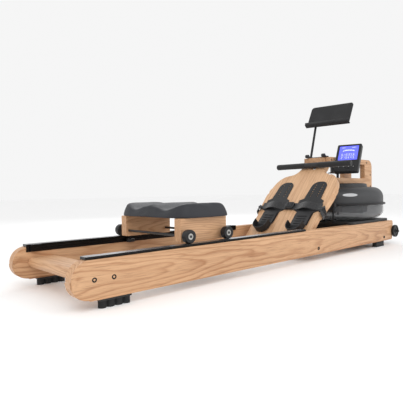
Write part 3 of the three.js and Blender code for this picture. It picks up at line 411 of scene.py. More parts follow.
@dataclass(frozen=True)
class TrackMetal:
    """Black anodised track whose upward faces carry a painted reflection that makes them bright grey."""

    name: str

    @functools.cache
    def material(self) -> bpy.types.Material:
        """Makes the material, once for each finish.

        Returns:
            The material.
        """
        w = Wiring(self.name)
        # Painted reflection: faces that point up are coloured bright grey in place of the black.
        facing_up = w.put("SeparateXYZ", {0: w.put("NewGeometry", {}).outputs["Normal"]}).outputs[2]
        top = w.sum("GREATER_THAN", facing_up, 0.8)
        scratch = w.noise(w.spread((3.0, 900.0, 300.0)), 1.0, 3.0)
        top_reflection = w.mix(scratch, (0.10, 0.10, 0.105), (0.36, 0.36, 0.37))
        w.set(Base_Color=w.mix(top, (0.016, 0.015, 0.015), top_reflection), Metallic=0.85)
        w.set(Roughness=w.put("MapRange", {0: scratch, 3: 0.16, 4: 0.38}).outputs[0])
        w.bump(scratch, 0.00008, 0.5)
        return w.material


@dataclass(frozen=True)
class Steel:
    """Turned or drawn steel with fine lay marks."""

    name: str
    colour: Colour = (0.62, 0.61, 0.58)
    roughness: float = 0.24

    @functools.cache
    def material(self) -> bpy.types.Material:
        """Makes the material, once for each finish.

        Returns:
            The material.
        """
        w = Wiring(self.name)
        lay = w.noise(w.spread((1400.0, 60.0, 1400.0)), 1.0, 2.0)
        w.set(Base_Color=w.mix(lay, self.colour, tuple(0.72 * c for c in self.colour)), Metallic=1.0)
        w.set(Roughness=w.put("MapRange", {0: lay, 3: self.roughness, 4: self.roughness + 0.14}).outputs[0])
        w.bump(lay, 0.00005, 0.5)
        return w.material


@dataclass(frozen=True)
class Backlight:
    """Lit liquid crystal, with a fine mesh of cells and a slow change of brightness."""

    name: str
    colour: Colour
    glow: float

    @functools.cache
    def material(self) -> bpy.types.Material:
        """Makes the material, once for each finish.

        Returns:
            The material.
        """
        w = Wiring(self.name)
        cloud = w.noise(w.place, 18.0, 2.0)
        cells = w.put("TexChecker", {"Vector": w.place, "Scale": 2400.0}).outputs["Fac"]
        lit = w.mix(w.sum("MULTIPLY", w.sum("ADD", cloud, w.sum("MULTIPLY", cells, 0.15)), 0.5),
                    self.colour, tuple(min(1.0, 1.5 * c) for c in self.colour))
        w.set(Base_Color=lit, Emission_Color=lit, Emission_Strength=self.glow, Roughness=0.2)
        return w.material


Finish = Timber | Moulded | LeatherGrain | Weave | Smoked | TrackMetal | Steel | Backlight

PLASTIC = Moulded("moulded_plastic")
DEEP_PLASTIC = Moulded("tread_plastic", (0.013, 0.013, 0.014), (0.04, 0.04, 0.042), 0.5, 620.0, 0.0002)
RUBBER = Moulded("foot_rubber", (0.014, 0.014, 0.015), (0.04, 0.04, 0.04), 0.62, 500.0, 0.0002)
TREAD = Moulded("wheel_tread", (0.012, 0.012, 0.013), (0.035, 0.035, 0.036), 0.34, 700.0, 0.0001)
POWDER_COAT = Moulded("powder_coat", (0.016, 0.016, 0.017), (0.06, 0.06, 0.06), 0.38, 1300.0, 0.00015, 0.2)
GRIP_FOAM = Moulded("grip_foam", (0.015, 0.015, 0.016), (0.03, 0.03, 0.03), 0.78, 760.0, 0.0004, sheen=0.25)
BOLT_BLACK = Moulded("bolt_black", (0.01, 0.01, 0.01), (0.05, 0.05, 0.05), 0.4, 1500.0, 0.00005, 0.6)
TRAY_SKIN = Moulded("tray_skin", (0.02, 0.02, 0.021), (0.05, 0.05, 0.05), 0.6, 420.0, 0.00035)
KEY_PRINT = Moulded("key_print", (0.62, 0.62, 0.64), (0.7, 0.7, 0.7), 0.5)
AXLE_STEEL = Steel("axle_steel", (0.09, 0.09, 0.09), 0.3)
IMPELLER = Moulded("impeller_plastic", (0.05, 0.05, 0.055), (0.09, 0.09, 0.09), 0.35)
BOWL = Smoked("smoked_bowl", (0.085, 0.087, 0.092), 0.46)
COVER = Smoked("smoked_cover", (0.040, 0.041, 0.043), 0.96, 0.42, 0.0)
# pale grey for the oval on the cover that stands in for a painted reflection of a soft light
REFLECTION_PAINT = Moulded("painted_reflection_foil", (0.42, 0.43, 0.44), (0.5, 0.5, 0.5), 0.35, 300.0, 0.00005, 0.4)


# ---------------------------------------------------------------- forms
def standing(at: Sequence[float], axis: Sequence[float]) -> Matrix:
    """A frame whose Z runs along an axis.

    Args:
        at: its origin.
        axis: its Z direction.

    Returns:
        The matrix.
    """
    return Matrix.Translation(at) @ Vector(axis).to_track_quat("Z", "Y").to_matrix().to_4x4()


def basis(right: Sequence[float], up: Sequence[float], out: Sequence[float], at: Sequence[float]) -> Matrix:
    """A frame from its three axes and its origin.

    Args:
        right: its X direction.
        up: its Y direction.
        out: its Z direction.
        at: its origin.

    Returns:
        The matrix.
    """
    return Matrix((*((right[i], up[i], out[i], at[i]) for i in range(3)), (0, 0, 0, 1)))


def facing(at: Vector, swivel: float, tilt: float) -> Matrix:
    """A panel's frame: X to the reader's right, Y up the panel and Z out of its face.

    Args:
        at: its origin.
        swivel: degrees about the vertical.
        tilt: degrees backwards.

    Returns:
        The matrix.
    """
    s, t = math.radians(swivel), math.radians(tilt)
    right = Vector((math.sin(s), -math.cos(s), 0))
    up = Vector((math.cos(s) * math.sin(t), math.sin(s) * math.sin(t), math.cos(t)))
    return basis(right, up, right.cross(up), at)


def turned(profile: Profile, place: Matrix, sides: int = 96) -> bmesh.types.BMesh:
    """Turns a closed profile about Z.

    Args:
        profile: radius and height of each corner, in order round the section.
        place: where the piece goes.
        sides: steps round the axis.

    Returns:
        The form.
    """
    form = bmesh.new()
    rings = [[form.verts.new((r * math.cos(TURN * i / sides), r * math.sin(TURN * i / sides), h))
              for r, h in profile] for i in range(sides)]
    count = len(profile)
    for i in range(sides):
        near, far = rings[i], rings[(i + 1) % sides]
        for j in range(count):
            k = (j + 1) % count
            form.faces.new((near[j], far[j], far[k], near[k]))
    bmesh.ops.remove_doubles(form, verts=form.verts, dist=1e-6)
    bmesh.ops.dissolve_degenerate(form, edges=form.edges, dist=1e-6)
    bmesh.ops.recalc_face_normals(form, faces=form.faces)
    form.transform(place)
    return form


def extruded(outline: Profile, thickness: float, place: Matrix) -> bmesh.types.BMesh:
    """Raises an outline in XY by a thickness.

    Args:
        outline: corners in order.
        thickness: along Z.
        place: where the piece goes.

    Returns:
        The form.
    """
    form = bmesh.new()
    base = form.faces.new([form.verts.new((x, y, 0.0)) for x, y in outline])
    lifted = bmesh.ops.extrude_face_region(form, geom=[base])["geom"]
    top = [g for g in lifted if isinstance(g, bmesh.types.BMVert)]
    bmesh.ops.translate(form, verts=top, vec=(0, 0, thickness))
    bmesh.ops.recalc_face_normals(form, faces=form.faces)
    form.transform(place)
    return form


def copied(node: str) -> bmesh.types.BMesh:
    """The frame's own form of a node, with its triangles joined into flat faces.

    Args:
        node: the node's name.

    Returns:
        The form.
    """
    form = bmesh.new()
    form.from_mesh(frame["nodes"][node].data)
    bmesh.ops.remove_doubles(form, verts=form.verts, dist=2e-6)
    bmesh.ops.dissolve_limit(form, angle_limit=math.radians(0.6), verts=form.verts, edges=form.edges)
    return form


def eased(form: bmesh.types.BMesh, width: float, steps: int = 3, above: float = 40.0) -> bmesh.types.BMesh:
    """Rounds every edge that is sharper than an angle.

    Args:
        form: the form, changed in place.
        width: of the rounding.
        steps: facets across it.
        above: the least angle in degrees.

    Returns:
        The same form.
    """
    least = math.radians(above)
    edges = [e for e in form.edges if e.is_manifold and e.calc_face_angle(0.0) > least]
    bmesh.ops.bevel(form, geom=edges, offset=width, offset_type="OFFSET", segments=steps,
                    profile=0.5, affect="EDGES", clamp_overlap=True)
    return form


def ribbon(place: Callable[[float], Vector], across: Callable[[float], Vector], width: float,
           thickness: float, steps: int) -> bmesh.types.BMesh:
    """A flat strap with rounded edges along a path.

    Args:
        place: the centre line, for t from 0 to 1.
        across: the width direction, for t from 0 to 1.
        width: of the strap.
        thickness: of the strap.
        steps: along the path.

    Returns:
        The form.
    """
    half, skin = width / 2, thickness / 2
    nose = skin * 0.6
    lanes = 8
    top = [(-half + nose + (width - 2 * nose) * i / lanes, skin) for i in range(lanes + 1)]
    section = [(-half, 0.0), *top, (half, 0.0), *[(y, -z) for y, z in reversed(top)]]
    form = bmesh.new()
    rows = []
    for i in range(steps + 1):
        t = i / steps
        ahead, behind = place(min(t + 1e-3, 1.0)), place(max(t - 1e-3, 0.0))
        along = (ahead - behind).normalized()
        side = across(t)
        side = (side - along * side.dot(along)).normalized()
        up = along.cross(side)
        centre = place(t)
        rows.append([form.verts.new(centre + side * y + up * z) for y, z in section])
    count = len(section)
    for near, far in zip(rows, rows[1:]):
        for j in range(count):
            k = (j + 1) % count
            form.faces.new((near[j], near[k], far[k], far[j]))
    form.faces.new(list(reversed(rows[0])))
    form.faces.new(rows[-1])
    bmesh.ops.recalc_face_normals(form, faces=form.faces)
    return form


def arc(x: float, y: float, radius: float, start: float, end: float, steps: int = 16) -> Outline:
    """Points along an arc.

    Args:
        x: centre.
        y: centre.
        radius: of the arc.
        start: first angle in degrees.
        end: last angle in degrees.
        steps: how many pieces.

    Returns:
        The points, ends included.
    """
    angles = [math.radians(start + (end - start) * i / steps) for i in range(steps + 1)]
    return [(x + radius * math.cos(a), y + radius * math.sin(a)) for a in angles]


def rounded_box(x0: float, y0: float, x1: float, y1: float, radius: float) -> Outline:
    """Outline of a rectangle with round corners.

    Args:
        x0: left edge.
        y0: lower edge.
        x1: right edge.
        y1: upper edge.
        radius: of the corners.

    Returns:
        The points, in order.
    """
    left, right, low, high = x0 + radius, x1 - radius, y0 + radius, y1 - radius
    corners = ((right, low, -90), (right, high, 0), (left, high, 90), (left, low, 180))
    return [p for x, y, start in corners for p in arc(x, y, radius, start, start + 90, 8)]


def bezier(points: Profile, steps: int = 14) -> Outline:
    """Points along a cubic curve.

    Args:
        points: both ends and the two handles between them.
        steps: how many pieces.

    Returns:
        The points, without the first end.
    """
    a, b, c, d = (Vector(p) for p in points)
    found = []
    for i in range(1, steps + 1):
        t = i / steps
        s = 1 - t
        p = a * s ** 3 + b * 3 * s * s * t + c * 3 * s * t * t + d * t ** 3
        found.append((p.x, p.y))
    return found


def merged(forms: Iterable[bmesh.types.BMesh]) -> bmesh.types.BMesh:
    """Gathers several closed forms into one piece.

    Args:
        forms: the forms, used up here.

    Returns:
        The form that holds them all.
    """
    whole = bmesh.new()
    scratch = bpy.data.meshes.new("scratch")
    for form in forms:
        form.to_mesh(scratch)
        form.free()
        whole.from_mesh(scratch)
    bpy.data.meshes.remove(scratch)
    return whole


# ---------------------------------------------------------------- common ground
class SubAssembly:
    """Makes pieces and sets each on the body of the node that it stands for or sits on."""

    def fit(self, name: str, form: bmesh.types.BMesh, finish: Finish, node: str, replace: bool = True,
            slot: str = "", crease: float = 42.0) -> bpy.types.Object:
        """Turns a form into a dressed piece on its body.

        Args:
            name: the piece's name.
            form: its shape, used up here.
            finish: what it is made of.
            node: the frame's node that gives the body.
            replace: whether the piece stands for that node.
            slot: not used.
            crease: edges above this angle in degrees stay sharp.

        Returns:
            The piece.
        """
        mesh = bpy.data.meshes.new(name)
        form.to_mesh(mesh)
        form.free()
        mesh.materials.append(finish.material())
        mesh.shade_smooth()
        mesh.set_sharp_from_angle(angle=math.radians(crease))
        piece = bpy.data.objects.new(name, mesh)
        bpy.context.scene.collection.objects.link(piece)
        weights = piece.modifiers.new("even_shading", "WEIGHTED_NORMAL")
        weights.keep_sharp = True
        if replace:
            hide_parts(node)
        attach(piece, BODY_OF[node])
        LOG.info("%s rides on %s", name, BODY_OF[node])
        return piece

    def refine(self, node: str, finish: Finish, width: float, steps: int = 3,
               above: float = 40.0) -> bpy.types.Object:
        """Finishes a node whose form is right by rounding its edges.

        Args:
            node: the frame's node.
            finish: what it is made of.
            width: of the rounding.
            steps: facets across the rounding.
            above: edges sharper than this are rounded, in degrees.

        Returns:
            The piece.
        """
        return self.fit(node + "_finished", eased(copied(node), width, steps, above), finish, node)


class Bolts(SubAssembly):
    """Black socket-head bolts."""

    head: float = 7.8 * MM
    socket: float = 3.6 * MM
    proud: float = 0.9 * MM

    def drive(self, name: str, at: Sequence[float], axis: Sequence[float], node: str,
              size: float = 1.0) -> None:
        """Sets one bolt.

        Args:
            name: the bolt's name.
            at: the middle of its head on the surface.
            axis: the way that it faces.
            node: the node that it is driven into.
            size: factor on its radius.
        """
        r, s, p = self.head * size, self.socket * size, self.proud
        sunk, floor = -3 * MM, -2 * MM
        rim = [(0, sunk), (r, sunk), (r, p * 0.4), (r - p * 0.6, p), (s + p, p), (s, p * 0.3)]
        rim += [(s, floor), (0, floor)]
        self.fit(name, turned(rim, standing(at, axis), 24), BOLT_BLACK, node, False, "black_metal")


# ---------------------------------------------------------------- base frame
@dataclass
class BaseFrame(SubAssembly):
    """Side rails, crossmembers, feet, seat tracks and the tank's base."""

    ease: float = 3 * MM
    front_corner: float = 18 * MM
    bolt_spots: tuple[tuple[float, float], ...] = ((0.073, 0.090), (0.137, 0.090), (1.297, 0.107),
                                                   (1.250, 0.059), (1.971, 0.123), (1.967, 0.053))

    def rail(self, side: str, sign: int, bolts: Bolts) -> None:
        """Makes one side rail with its round rear end, and its bolts.

        Args:
            side: left or right.
            sign: 1 or -1.
            bolts: what drives the bolts.
        """
        node = f"side_rail_{side}"
        low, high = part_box(node)
        r = (high.z - low.z) / 2
        e = self.front_corner
        nose = high.x - e
        outline = [*arc(nose, low.z + e, e, -90, 0, 10), *arc(nose, high.z - e, e, 0, 90, 10),
                   *arc(low.x + r, low.z + r, r, 90, 270, 56)]
        upright = Matrix(((1, 0, 0, 0), (0, 0, -1, high.y), (0, 1, 0, 0), (0, 0, 0, 1)))
        form = eased(extruded(outline, high.y - low.y, upright), self.ease, 4, 60)
        middle = abs(high.y + low.y) / 2
        pith = (sign * (middle - 62 * MM), 0.098 + 0.012 * sign)
        self.fit(f"rail_{side}", form, Timber(f"ash_rail_{side}", pith=pith, taper=0.036), node)
        outer = sign * max(abs(low.y), abs(high.y))
        for i, (x, z) in enumerate(self.bolt_spots):
            bolts.drive(f"rail_bolt_{side}_{i + 1}", (low.x + x, outer, z), (0, sign, 0), node)

    def build(self) -> None:
        """Makes every piece of the base."""
        bolts = Bolts()
        for side, sign in SIDES:
            self.rail(side, sign, bolts)
            self.refine(f"rear_foot_{side}", RUBBER, 1.4 * MM)
            self.refine(f"front_foot_{side}", RUBBER, 1.6 * MM)
            self.refine(f"seat_track_{side}", TrackMetal("track_metal"), 0.7 * MM, 2)
        across = Timber("ash_across", Grain.ACROSS, (0.93, -0.02), 0.05, 0.008, 0.7)
        sloped = Timber("ash_brace", Grain.ACROSS, (-0.16, -0.05), 0.04, 0.008, 0.6)
        self.refine("rear_crossmember", across, 2 * MM)
        self.refine("middle_crossmember", sloped, 2 * MM)
        self.refine("front_crossmember", sloped, 2 * MM)
        self.refine("tank_base", PLASTIC, 2 * MM)


@dataclass
class TransportWheels(SubAssembly):
    """Wheels at the tank end, for rolling the machine on its nose."""

    bore: float = 6.6 * MM
    rim: float = 5 * MM
    hub: float = 13.5 * MM
    dish: float = 4 * MM
    soft: float = 3 * MM
    groove: float = 1.5 * MM

    def build(self) -> None:
        """Makes the axle and both wheels."""
        self.refine("transport_axle", POWDER_COAT, 0.9 * MM, 2)
        for side, _ in SIDES:
            node = f"transport_wheel_{side}"
            low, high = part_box(node)
            r, w = (high.z - low.z) / 2, high.y - low.y
            e, deep, near = self.soft, r - self.groove, r - 0.8 * MM
            tread = [(r - e, w), (near, w - 0.9 * MM), (r, w - e), (r, w * 0.62), (deep, w * 0.58),
                     (deep, w * 0.42), (r, w * 0.38), (r, e), (near, 0.9 * MM), (r - e, 0)]
            wall, d, hub = r - self.rim - e, self.dish, self.hub
            low_side = [(wall, 0), (wall - 2 * MM, d), (hub + 1.5 * MM, d), (hub, 0), (self.bore, 0)]
            web = [*low_side, *[(x, w - y) for x, y in reversed(low_side)]]
            at = ((low.x + high.x) / 2, low.y, (low.z + high.z) / 2)
            self.fit(f"nose_wheel_{side}", turned(tread + web, standing(at, (0, 1, 0)), 72), TREAD, node)


# ---------------------------------------------------------------- seat
@dataclass
class Cushion(SubAssembly):
    """Moulded seat: a flared skirt, a raised rim and two hollows with a ridge between them."""

    flare: float = 12 * MM
    corner: float = 10 * MM
    hollow: float = 26 * MM
    waist: float = 0.03
    swell_cap: float = 2.5 * MM
    voxel: float = 4.5 * MM
    pressure: float = 4.0
    frames: int = 20

    def outline(self, angle: float, a: float, b: float) -> Vector:
        """A point on the plan outline.

        Args:
            angle: round the seat.
            a: half the depth.
            b: half the width.

        Returns:
            The point in plan.
        """
        power = 2 / 4.4
        c, s = math.cos(angle), math.sin(angle)
        x = a * math.copysign(abs(c) ** power, c)
        y = b * math.copysign(abs(s) ** power, s)
        pull = 1 - self.waist * (1 - min(1.0, abs(y / b) * 1.6) ** 2)
        return Vector((x * pull, y, 0))

    def crown(self, x: float, y: float, a: float, b: float, height: float) -> float:
        """Height of the top over the base.

        Args:
            x: from the middle, towards the tank.
            y: from the middle.
            a: half the depth.
            b: half the width.
            height: of the rim.

        Returns:
            The height.
        """
        u, v = x / a, abs(y) / b
        seat = math.exp(-((v - 0.44) / 0.31) ** 2) * math.exp(-((u + 0.05) / 0.95) ** 6)
        edge_dip = 0.010 * math.exp(-((v - 0.44) / 0.24) ** 2) * max(0.0, -u) ** 2
        thigh = 0.010 * max(0.0, u - 0.15) ** 2 * (1 - 0.6 * math.exp(-(v / 0.25) ** 2))
        tail_notch = 0.009 * math.exp(-(v / 0.12) ** 2) * max(0.0, -u) ** 3
        return height - 0.003 - self.hollow * seat - edge_dip - thigh - tail_notch

    def blank(self, low: Vector, high: Vector) -> bmesh.types.BMesh:
        """The form before it swells.

        Args:
            low: lowest corner of its space.
            high: highest corner of its space.

        Returns:
            The form.
        """
        centre = (low + high) / 2
        a, b = (high.x - low.x) / 2 - 1 * MM, (high.y - low.y) / 2 - 1 * MM
        height = high.z - low.z
        shrink = self.swell_cap * 0.4
        around, rings = 144, 34
        form = bmesh.new()

        def ring(inset: float, rise: Callable[[Vector], float]) -> list[bmesh.types.BMVert]:
            """One ring of points, inset from the skirt's hem and raised by a rule."""
            row = []
            for i in range(around):
                p = self.outline(TURN * i / around, a - inset, b - inset)
                row.append(form.verts.new((centre.x + p.x, centre.y + p.y, low.z + rise(p))))
            return row

        def top_at(p: Vector) -> float:
            """Height of the crown under a point."""
            return self.crown(p.x, p.y, a, b, height) - shrink

        rows = []
        steps = 7
        lifts = 5
        rim = self.flare + self.corner
        for k in range(lifts + 1):
            part = k / lifts
            rows.append(ring(self.flare * (part ** 1.4) + (2 * MM if k == 0 else 0),
                             lambda p, part=part: part * (top_at(p) - self.corner)))
        for k in range(1, steps + 1):
            turn = k / steps * math.pi / 2
            rows.append(ring(self.flare + self.corner * (1 - math.cos(turn)),
                             lambda p, turn=turn: top_at(p) - self.corner * (1 - math.sin(turn))))
        for k in range(1, rings):
            share = 1 - k / rings
            row = []
            for i in range(around):
                p = self.outline(TURN * i / around, a - rim, b - rim) * share
                row.append(form.verts.new((centre.x + p.x, centre.y + p.y, low.z + top_at(p))))
            rows.append(row)
        for near, far in zip(rows, rows[1:]):
            for i in range(around):
                j = (i + 1) % around
                form.faces.new((near[i], near[j], far[j], far[i]))
        pole = form.verts.new((centre.x, centre.y, low.z + top_at(Vector((0, 0, 0)))))
        for i in range(around):
            form.faces.new((rows[-1][i], rows[-1][(i + 1) % around], pole))
        form.faces.new(list(reversed(rows[0])))
        bmesh.ops.recalc_face_normals(form, faces=form.faces)
        return form

    def swell(self, piece: bpy.types.Object, base: float) -> None:
        """Plumps the piece by a short cloth simulation, and applies it.

        Args:
            piece: the cushion.
            base: height of its flat underside, which is held still.
        """
        scene = bpy.context.scene
        even = piece.modifiers.new("even", "REMESH")
        even.mode = "VOXEL"
        even.voxel_size = self.voxel
        self.bake(piece)
        mesh = piece.data
        rest = [v.co.copy() for v in mesh.vertices]
        held = piece.vertex_groups.new(name="underside")
        held.add([i for i, p in enumerate(rest) if p.z < base + 2 * MM], 1.0, "REPLACE")
        cloth = piece.modifiers.new("swell", "CLOTH")
        cloth.settings.use_pressure = True
        cloth.settings.uniform_pressure_force = self.pressure
        cloth.settings.effector_weights.gravity = 0.0
        cloth.settings.vertex_group_mass = held.name
        cloth.settings.quality = 4
        cloth.point_cache.frame_start = 1
        cloth.point_cache.frame_end = self.frames
        for number in range(1, self.frames + 1):
            scene.frame_set(number)
        found = piece.evaluated_get(bpy.context.evaluated_depsgraph_get()).data
        moved = [v.co.copy() for v in found.vertices]
        for vertex, start, end in zip(mesh.vertices, rest, moved):
            step = end - start
            if step.length > self.swell_cap:
                step *= self.swell_cap / step.length
            vertex.co = start + step
        piece.modifiers.remove(cloth)
        piece.vertex_groups.remove(held)
        scene.frame_set(1)
        soften = piece.modifiers.new("soften", "SMOOTH")
        soften.factor = 0.5
        soften.iterations = 3
        self.bake(piece)

    def bake(self, piece: bpy.types.Object) -> None:
        """Applies the piece's modifiers to its mesh.

        Args:
            piece: the piece, changed in place.
        """
        graph = bpy.context.evaluated_depsgraph_get()
        graph.update()
        mesh = bpy.data.meshes.new_from_object(piece.evaluated_get(graph))
        piece.modifiers.clear()
        piece.data = mesh
        mesh.shade_smooth()

    def build(self) -> None:
        """Makes the cushion."""
        low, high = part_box("seat_cushion")
        piece = self.fit("seat_pad", self.blank(low, high), LeatherGrain("skin_foam"), "seat_cushion")
        piece.modifiers.clear()
        self.swell(piece, low.z)
        fine = piece.modifiers.new("fine", "SUBSURF")
        fine.levels = fine.render_levels = 1


@dataclass
class Carriage(SubAssembly):
    """Seat blocks, axles, wheels and centring rollers under the cushion."""

    bearing: float = 11 * MM
    axle: float = 5.4 * MM
    tread_ease: float = 4 * MM
    rod_ease: float = 1 * MM
    wood_ease: float = 2.6 * MM

    def wheel(self, node: str, sign: int) -> None:
        """Makes a seat wheel with its bearing.

        Args:
            node: the wheel's node.
            sign: 1 on the left, -1 on the right.
        """
        low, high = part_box(node)
        r, w = (high.z - low.z) / 2, high.y - low.y
        at = Vector(((low.x + high.x) / 2, (low.y + high.y) / 2, (low.z + high.z) / 2))
        place = standing(at, (0, sign, 0))
        face, e = w / 2, self.tread_ease
        near, turn = r - 1.2 * MM, face - 1.0 * MM
        crown = [(r - e, face), (near, turn), (r, face - e), (r, -face + e), (near, -turn), (r - e, -face)]
        hub, seat, floor = 7 * MM, self.bearing + 2 * MM, face - 4 * MM
        dish = [(hub, -face), (hub, floor), (seat, floor), (seat, face - 1 * MM), (seat + 1.5 * MM, face)]
        self.fit(node + "_tyre", turned(crown + dish, place, 64), TREAD, node)
        b, bore = self.bearing, self.axle
        back, front, sunk = face - 5 * MM, face - 1.3 * MM, face - 2.2 * MM
        race = [(bore, back), (b, back), (b, face - 1.5 * MM), (b - 1.6 * MM, front),
                (b - 2.0 * MM, sunk), (b - 3.6 * MM, sunk), (b - 4 * MM, front), (bore, front)]
        self.fit(node + "_bearing", turned(race, place, 48), Steel("bearing_steel"), node, False, "steel")

    def build(self) -> None:
        """Makes every piece of the carriage."""
        for side, sign in SIDES:
            pith = (sign * 0.15, 0.19)
            wood = Timber(f"ash_block_{side}", pith=pith, taper=0.09, ring=0.008, contrast=0.75)
            self.refine(f"seat_block_{side}", wood, self.wood_ease)
            self.refine(f"guide_roller_{side}", TREAD, 0.7 * MM, 2, 60)
            for end in ("rear", "front"):
                self.wheel(f"seat_wheel_{end}_{side}", sign)
        for end in ("rear", "front"):
            node = f"seat_axle_{end}"
            low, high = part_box(node)
            r, length = (high.z - low.z) / 2, high.y - low.y
            at = ((low.x + high.x) / 2, low.y, (low.z + high.z) / 2)
            c = self.rod_ease
            bar = [(0, 0), (r - c, 0), (r, c), (r, length - c), (r - c, length), (0, length)]
            self.fit(node + "_rod", turned(bar, standing(at, (0, 1, 0)), 32), AXLE_STEEL, node)


# ---------------------------------------------------------------- footboard
@dataclass
class Footboard(SubAssembly):
    """Sloping board with its neck, foot plates, heel cups and webbing."""

    thickness: float = 28 * MM
    corner: float = 24 * MM
    top: float = 0.760
    neck: float = 80 * MM
    shoulder: float = 205 * MM
    foot: float = 82 * MM
    loop_turns: Profile = ((0.0, 0.0), (9 * MM, 1 * MM), (17 * MM, -6 * MM), (19 * MM, -24 * MM),
                           (13 * MM, -38 * MM), (-4 * MM, -40 * MM), (-30 * MM, -37.5 * MM))
    loop_narrower: float = 8 * MM
    strap_up: float = 356 * MM
    strap_width: float = 48 * MM
    arch: float = 18 * MM
    flare: float = 14 * MM
    droop: float = 34 * MM
    foot_spacing: float = 222 * MM
    sole_top: float = 9.9 * MM
    ribs: int = 5
    rib_start: float = 0.214
    rib_pitch: float = 17 * MM
    rib_half_length: float = 31 * MM
    rib_width: float = 6 * MM
    buckle_top: float = 19.8 * MM
    bar_half: tuple[float, float] = (3.2 * MM, 16 * MM)
    bar_pitch: float = 13 * MM
    arch_reach: float = 74 * MM
    rest: float = 6.6 * MM

    def slope(self) -> Matrix:
        """The board's own frame: X to the right-hand side, Y up the slope, Z out of the face.

        Returns:
            The matrix, with its origin where the face meets the floor.
        """
        _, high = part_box("footboard")
        start = high.x - high.z - self.thickness * math.sqrt(2)
        h = math.sqrt(0.5)
        return Matrix(((0, h, -h, start), (-1, 0, 0, 0), (0, h, h, 0), (0, 0, 0, 1)))

    def outline(self) -> Outline:
        """The board's edge: half of it from foot to neck, then its mirror.

        Returns:
            The points, in order.
        """
        s, n, f = self.shoulder, self.neck, self.foot
        w, edge = s + self.flare, s - 28 * MM
        c = self.corner
        half = [*arc(edge, f + c, c, -90, 0, 10), (s - 4 * MM, 0.290)]
        half += bezier(((s - 4 * MM, 0.290), (s, 0.340), (w + 2 * MM, 0.400), (w, 0.470)))
        half += bezier(((w, 0.470), (w - 2 * MM, 0.520), (w - 8 * MM, 0.560), (w - 40 * MM, 0.588)))
        half += bezier(((w - 40 * MM, 0.588), (w - 76 * MM, 0.620), (n + 26 * MM, 0.596),
                        (n + 6 * MM, 0.646)))
        half += bezier(((n + 6 * MM, 0.646), (n, 0.656), (n, 0.662), (n, 0.672)), 5)
        half.append((n, self.top))
        return half + [(-x, y) for x, y in reversed(half)]

    def board(self) -> None:
        """Makes the board, cut level under the deck and slotted for the strap."""
        place = self.slope() @ Matrix.Translation((0, 0, -self.thickness))
        form = eased(extruded(self.outline(), self.thickness, place), 4 * MM, 4, 60)
        wood = Timber("ash_footboard", Grain.SLOPING, (0.045, -0.145), 0.06, 0.0125, 0.5, (0.69, 0.44, 0.255))
        piece = self.fit("foot_board", form, wood, "footboard")
        piece.modifiers.clear()
        _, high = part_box("footboard")
        roller_low, roller_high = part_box("strap_roller")
        half = roller_high.y + 1 * MM
        slot_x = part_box("handle_bar")[0].x + 16 * MM
        for x, y, z in ((high.x - 1.0, 1.0, high.z), (slot_x, half, roller_low.z - 3 * MM)):
            cutter = extruded(((x, -y), (x + 2, -y), (x + 2, y), (x, y)), 1.0, Matrix.Translation((0, 0, z)))
            self.subtract(piece, cutter)
        weights = piece.modifiers.new("even_shading", "WEIGHTED_NORMAL")
        weights.keep_sharp = True

    def subtract(self, piece: bpy.types.Object, cutter: bmesh.types.BMesh) -> None:
        """Cuts one form out of a piece.

        Args:
            piece: the piece, changed in place.
            cutter: the form, used up here.
        """
        mesh = bpy.data.meshes.new("cutter")
        cutter.to_mesh(mesh)
        cutter.free()
        tool = bpy.data.objects.new("cutter", mesh)
        bpy.context.scene.collection.objects.link(tool)
        bite = piece.modifiers.new("bite", "BOOLEAN")
        bite.operation = "DIFFERENCE"
        bite.solver = "EXACT"
        bite.object = tool
        graph = bpy.context.evaluated_depsgraph_get()
        graph.update()
        result = bpy.data.meshes.new_from_object(piece.evaluated_get(graph))
        piece.modifiers.clear()
        bpy.data.objects.remove(tool)
        piece.data = result
        result.set_sharp_from_angle(angle=math.radians(42))

    def rise(self, across: float) -> float:
        """Height of the strap's middle over the board.

        Args:
            across: distance from the board's centre line.

        Returns:
            The height.
        """
        height = self.rest
        for _, sign in SIDES:
            u = (across + sign * self.foot_spacing / 2) / self.arch_reach
            if abs(u) < 1:
                height += self.arch * (math.cos(math.pi * u) + 1) / 2
        return height

    def strap(self) -> None:
        """Makes the webbing over both feet and the loops round the board's edges."""
        slope = self.slope() @ Matrix.Translation((0, self.strap_up, 0))
        half = self.shoulder - 8 * MM
        up = slope.to_3x3() @ Vector((0, 1, 0))

        def over(t: float) -> Vector:
            """The strap's middle line over the feet, from 0 at one edge to 1 at the other."""
            across = (t - 0.5) * 2 * half
            return slope @ Vector((across, 0, self.rise(across)))

        webbing = Weave("foot_webbing", (0, math.pi / 4, 0), 0.0035, 0.0022)
        form = ribbon(over, lambda t: up, self.strap_width, 2.6 * MM, 120)
        self.fit("foot_webbing", form, webbing, "foot_strap")
        for side, sign in SIDES:
            start = Vector((-sign * half, 0, self.rise(half) + 0.4 * MM))
            turns = self.loop_turns

            def loop(t: float, start: Vector = start, sign: int = sign) -> Vector:
                """The strap's middle line round the board's edge."""
                at = t * (len(turns) - 1)
                i = min(int(at), len(turns) - 2)
                share = at - i
                share = share * share * (3 - 2 * share)
                out = turns[i][0] + (turns[i + 1][0] - turns[i][0]) * share
                deep = turns[i][1] + (turns[i + 1][1] - turns[i][1]) * share
                hang = self.droop * math.sin(math.pi * t)
                return slope @ (start + Vector((-sign * out, -hang, deep)))

            form = ribbon(loop, lambda t: up, self.strap_width - self.loop_narrower, 2.2 * MM, 48)
            self.fit(f"webbing_loop_{side}", form, webbing, "foot_strap", False)

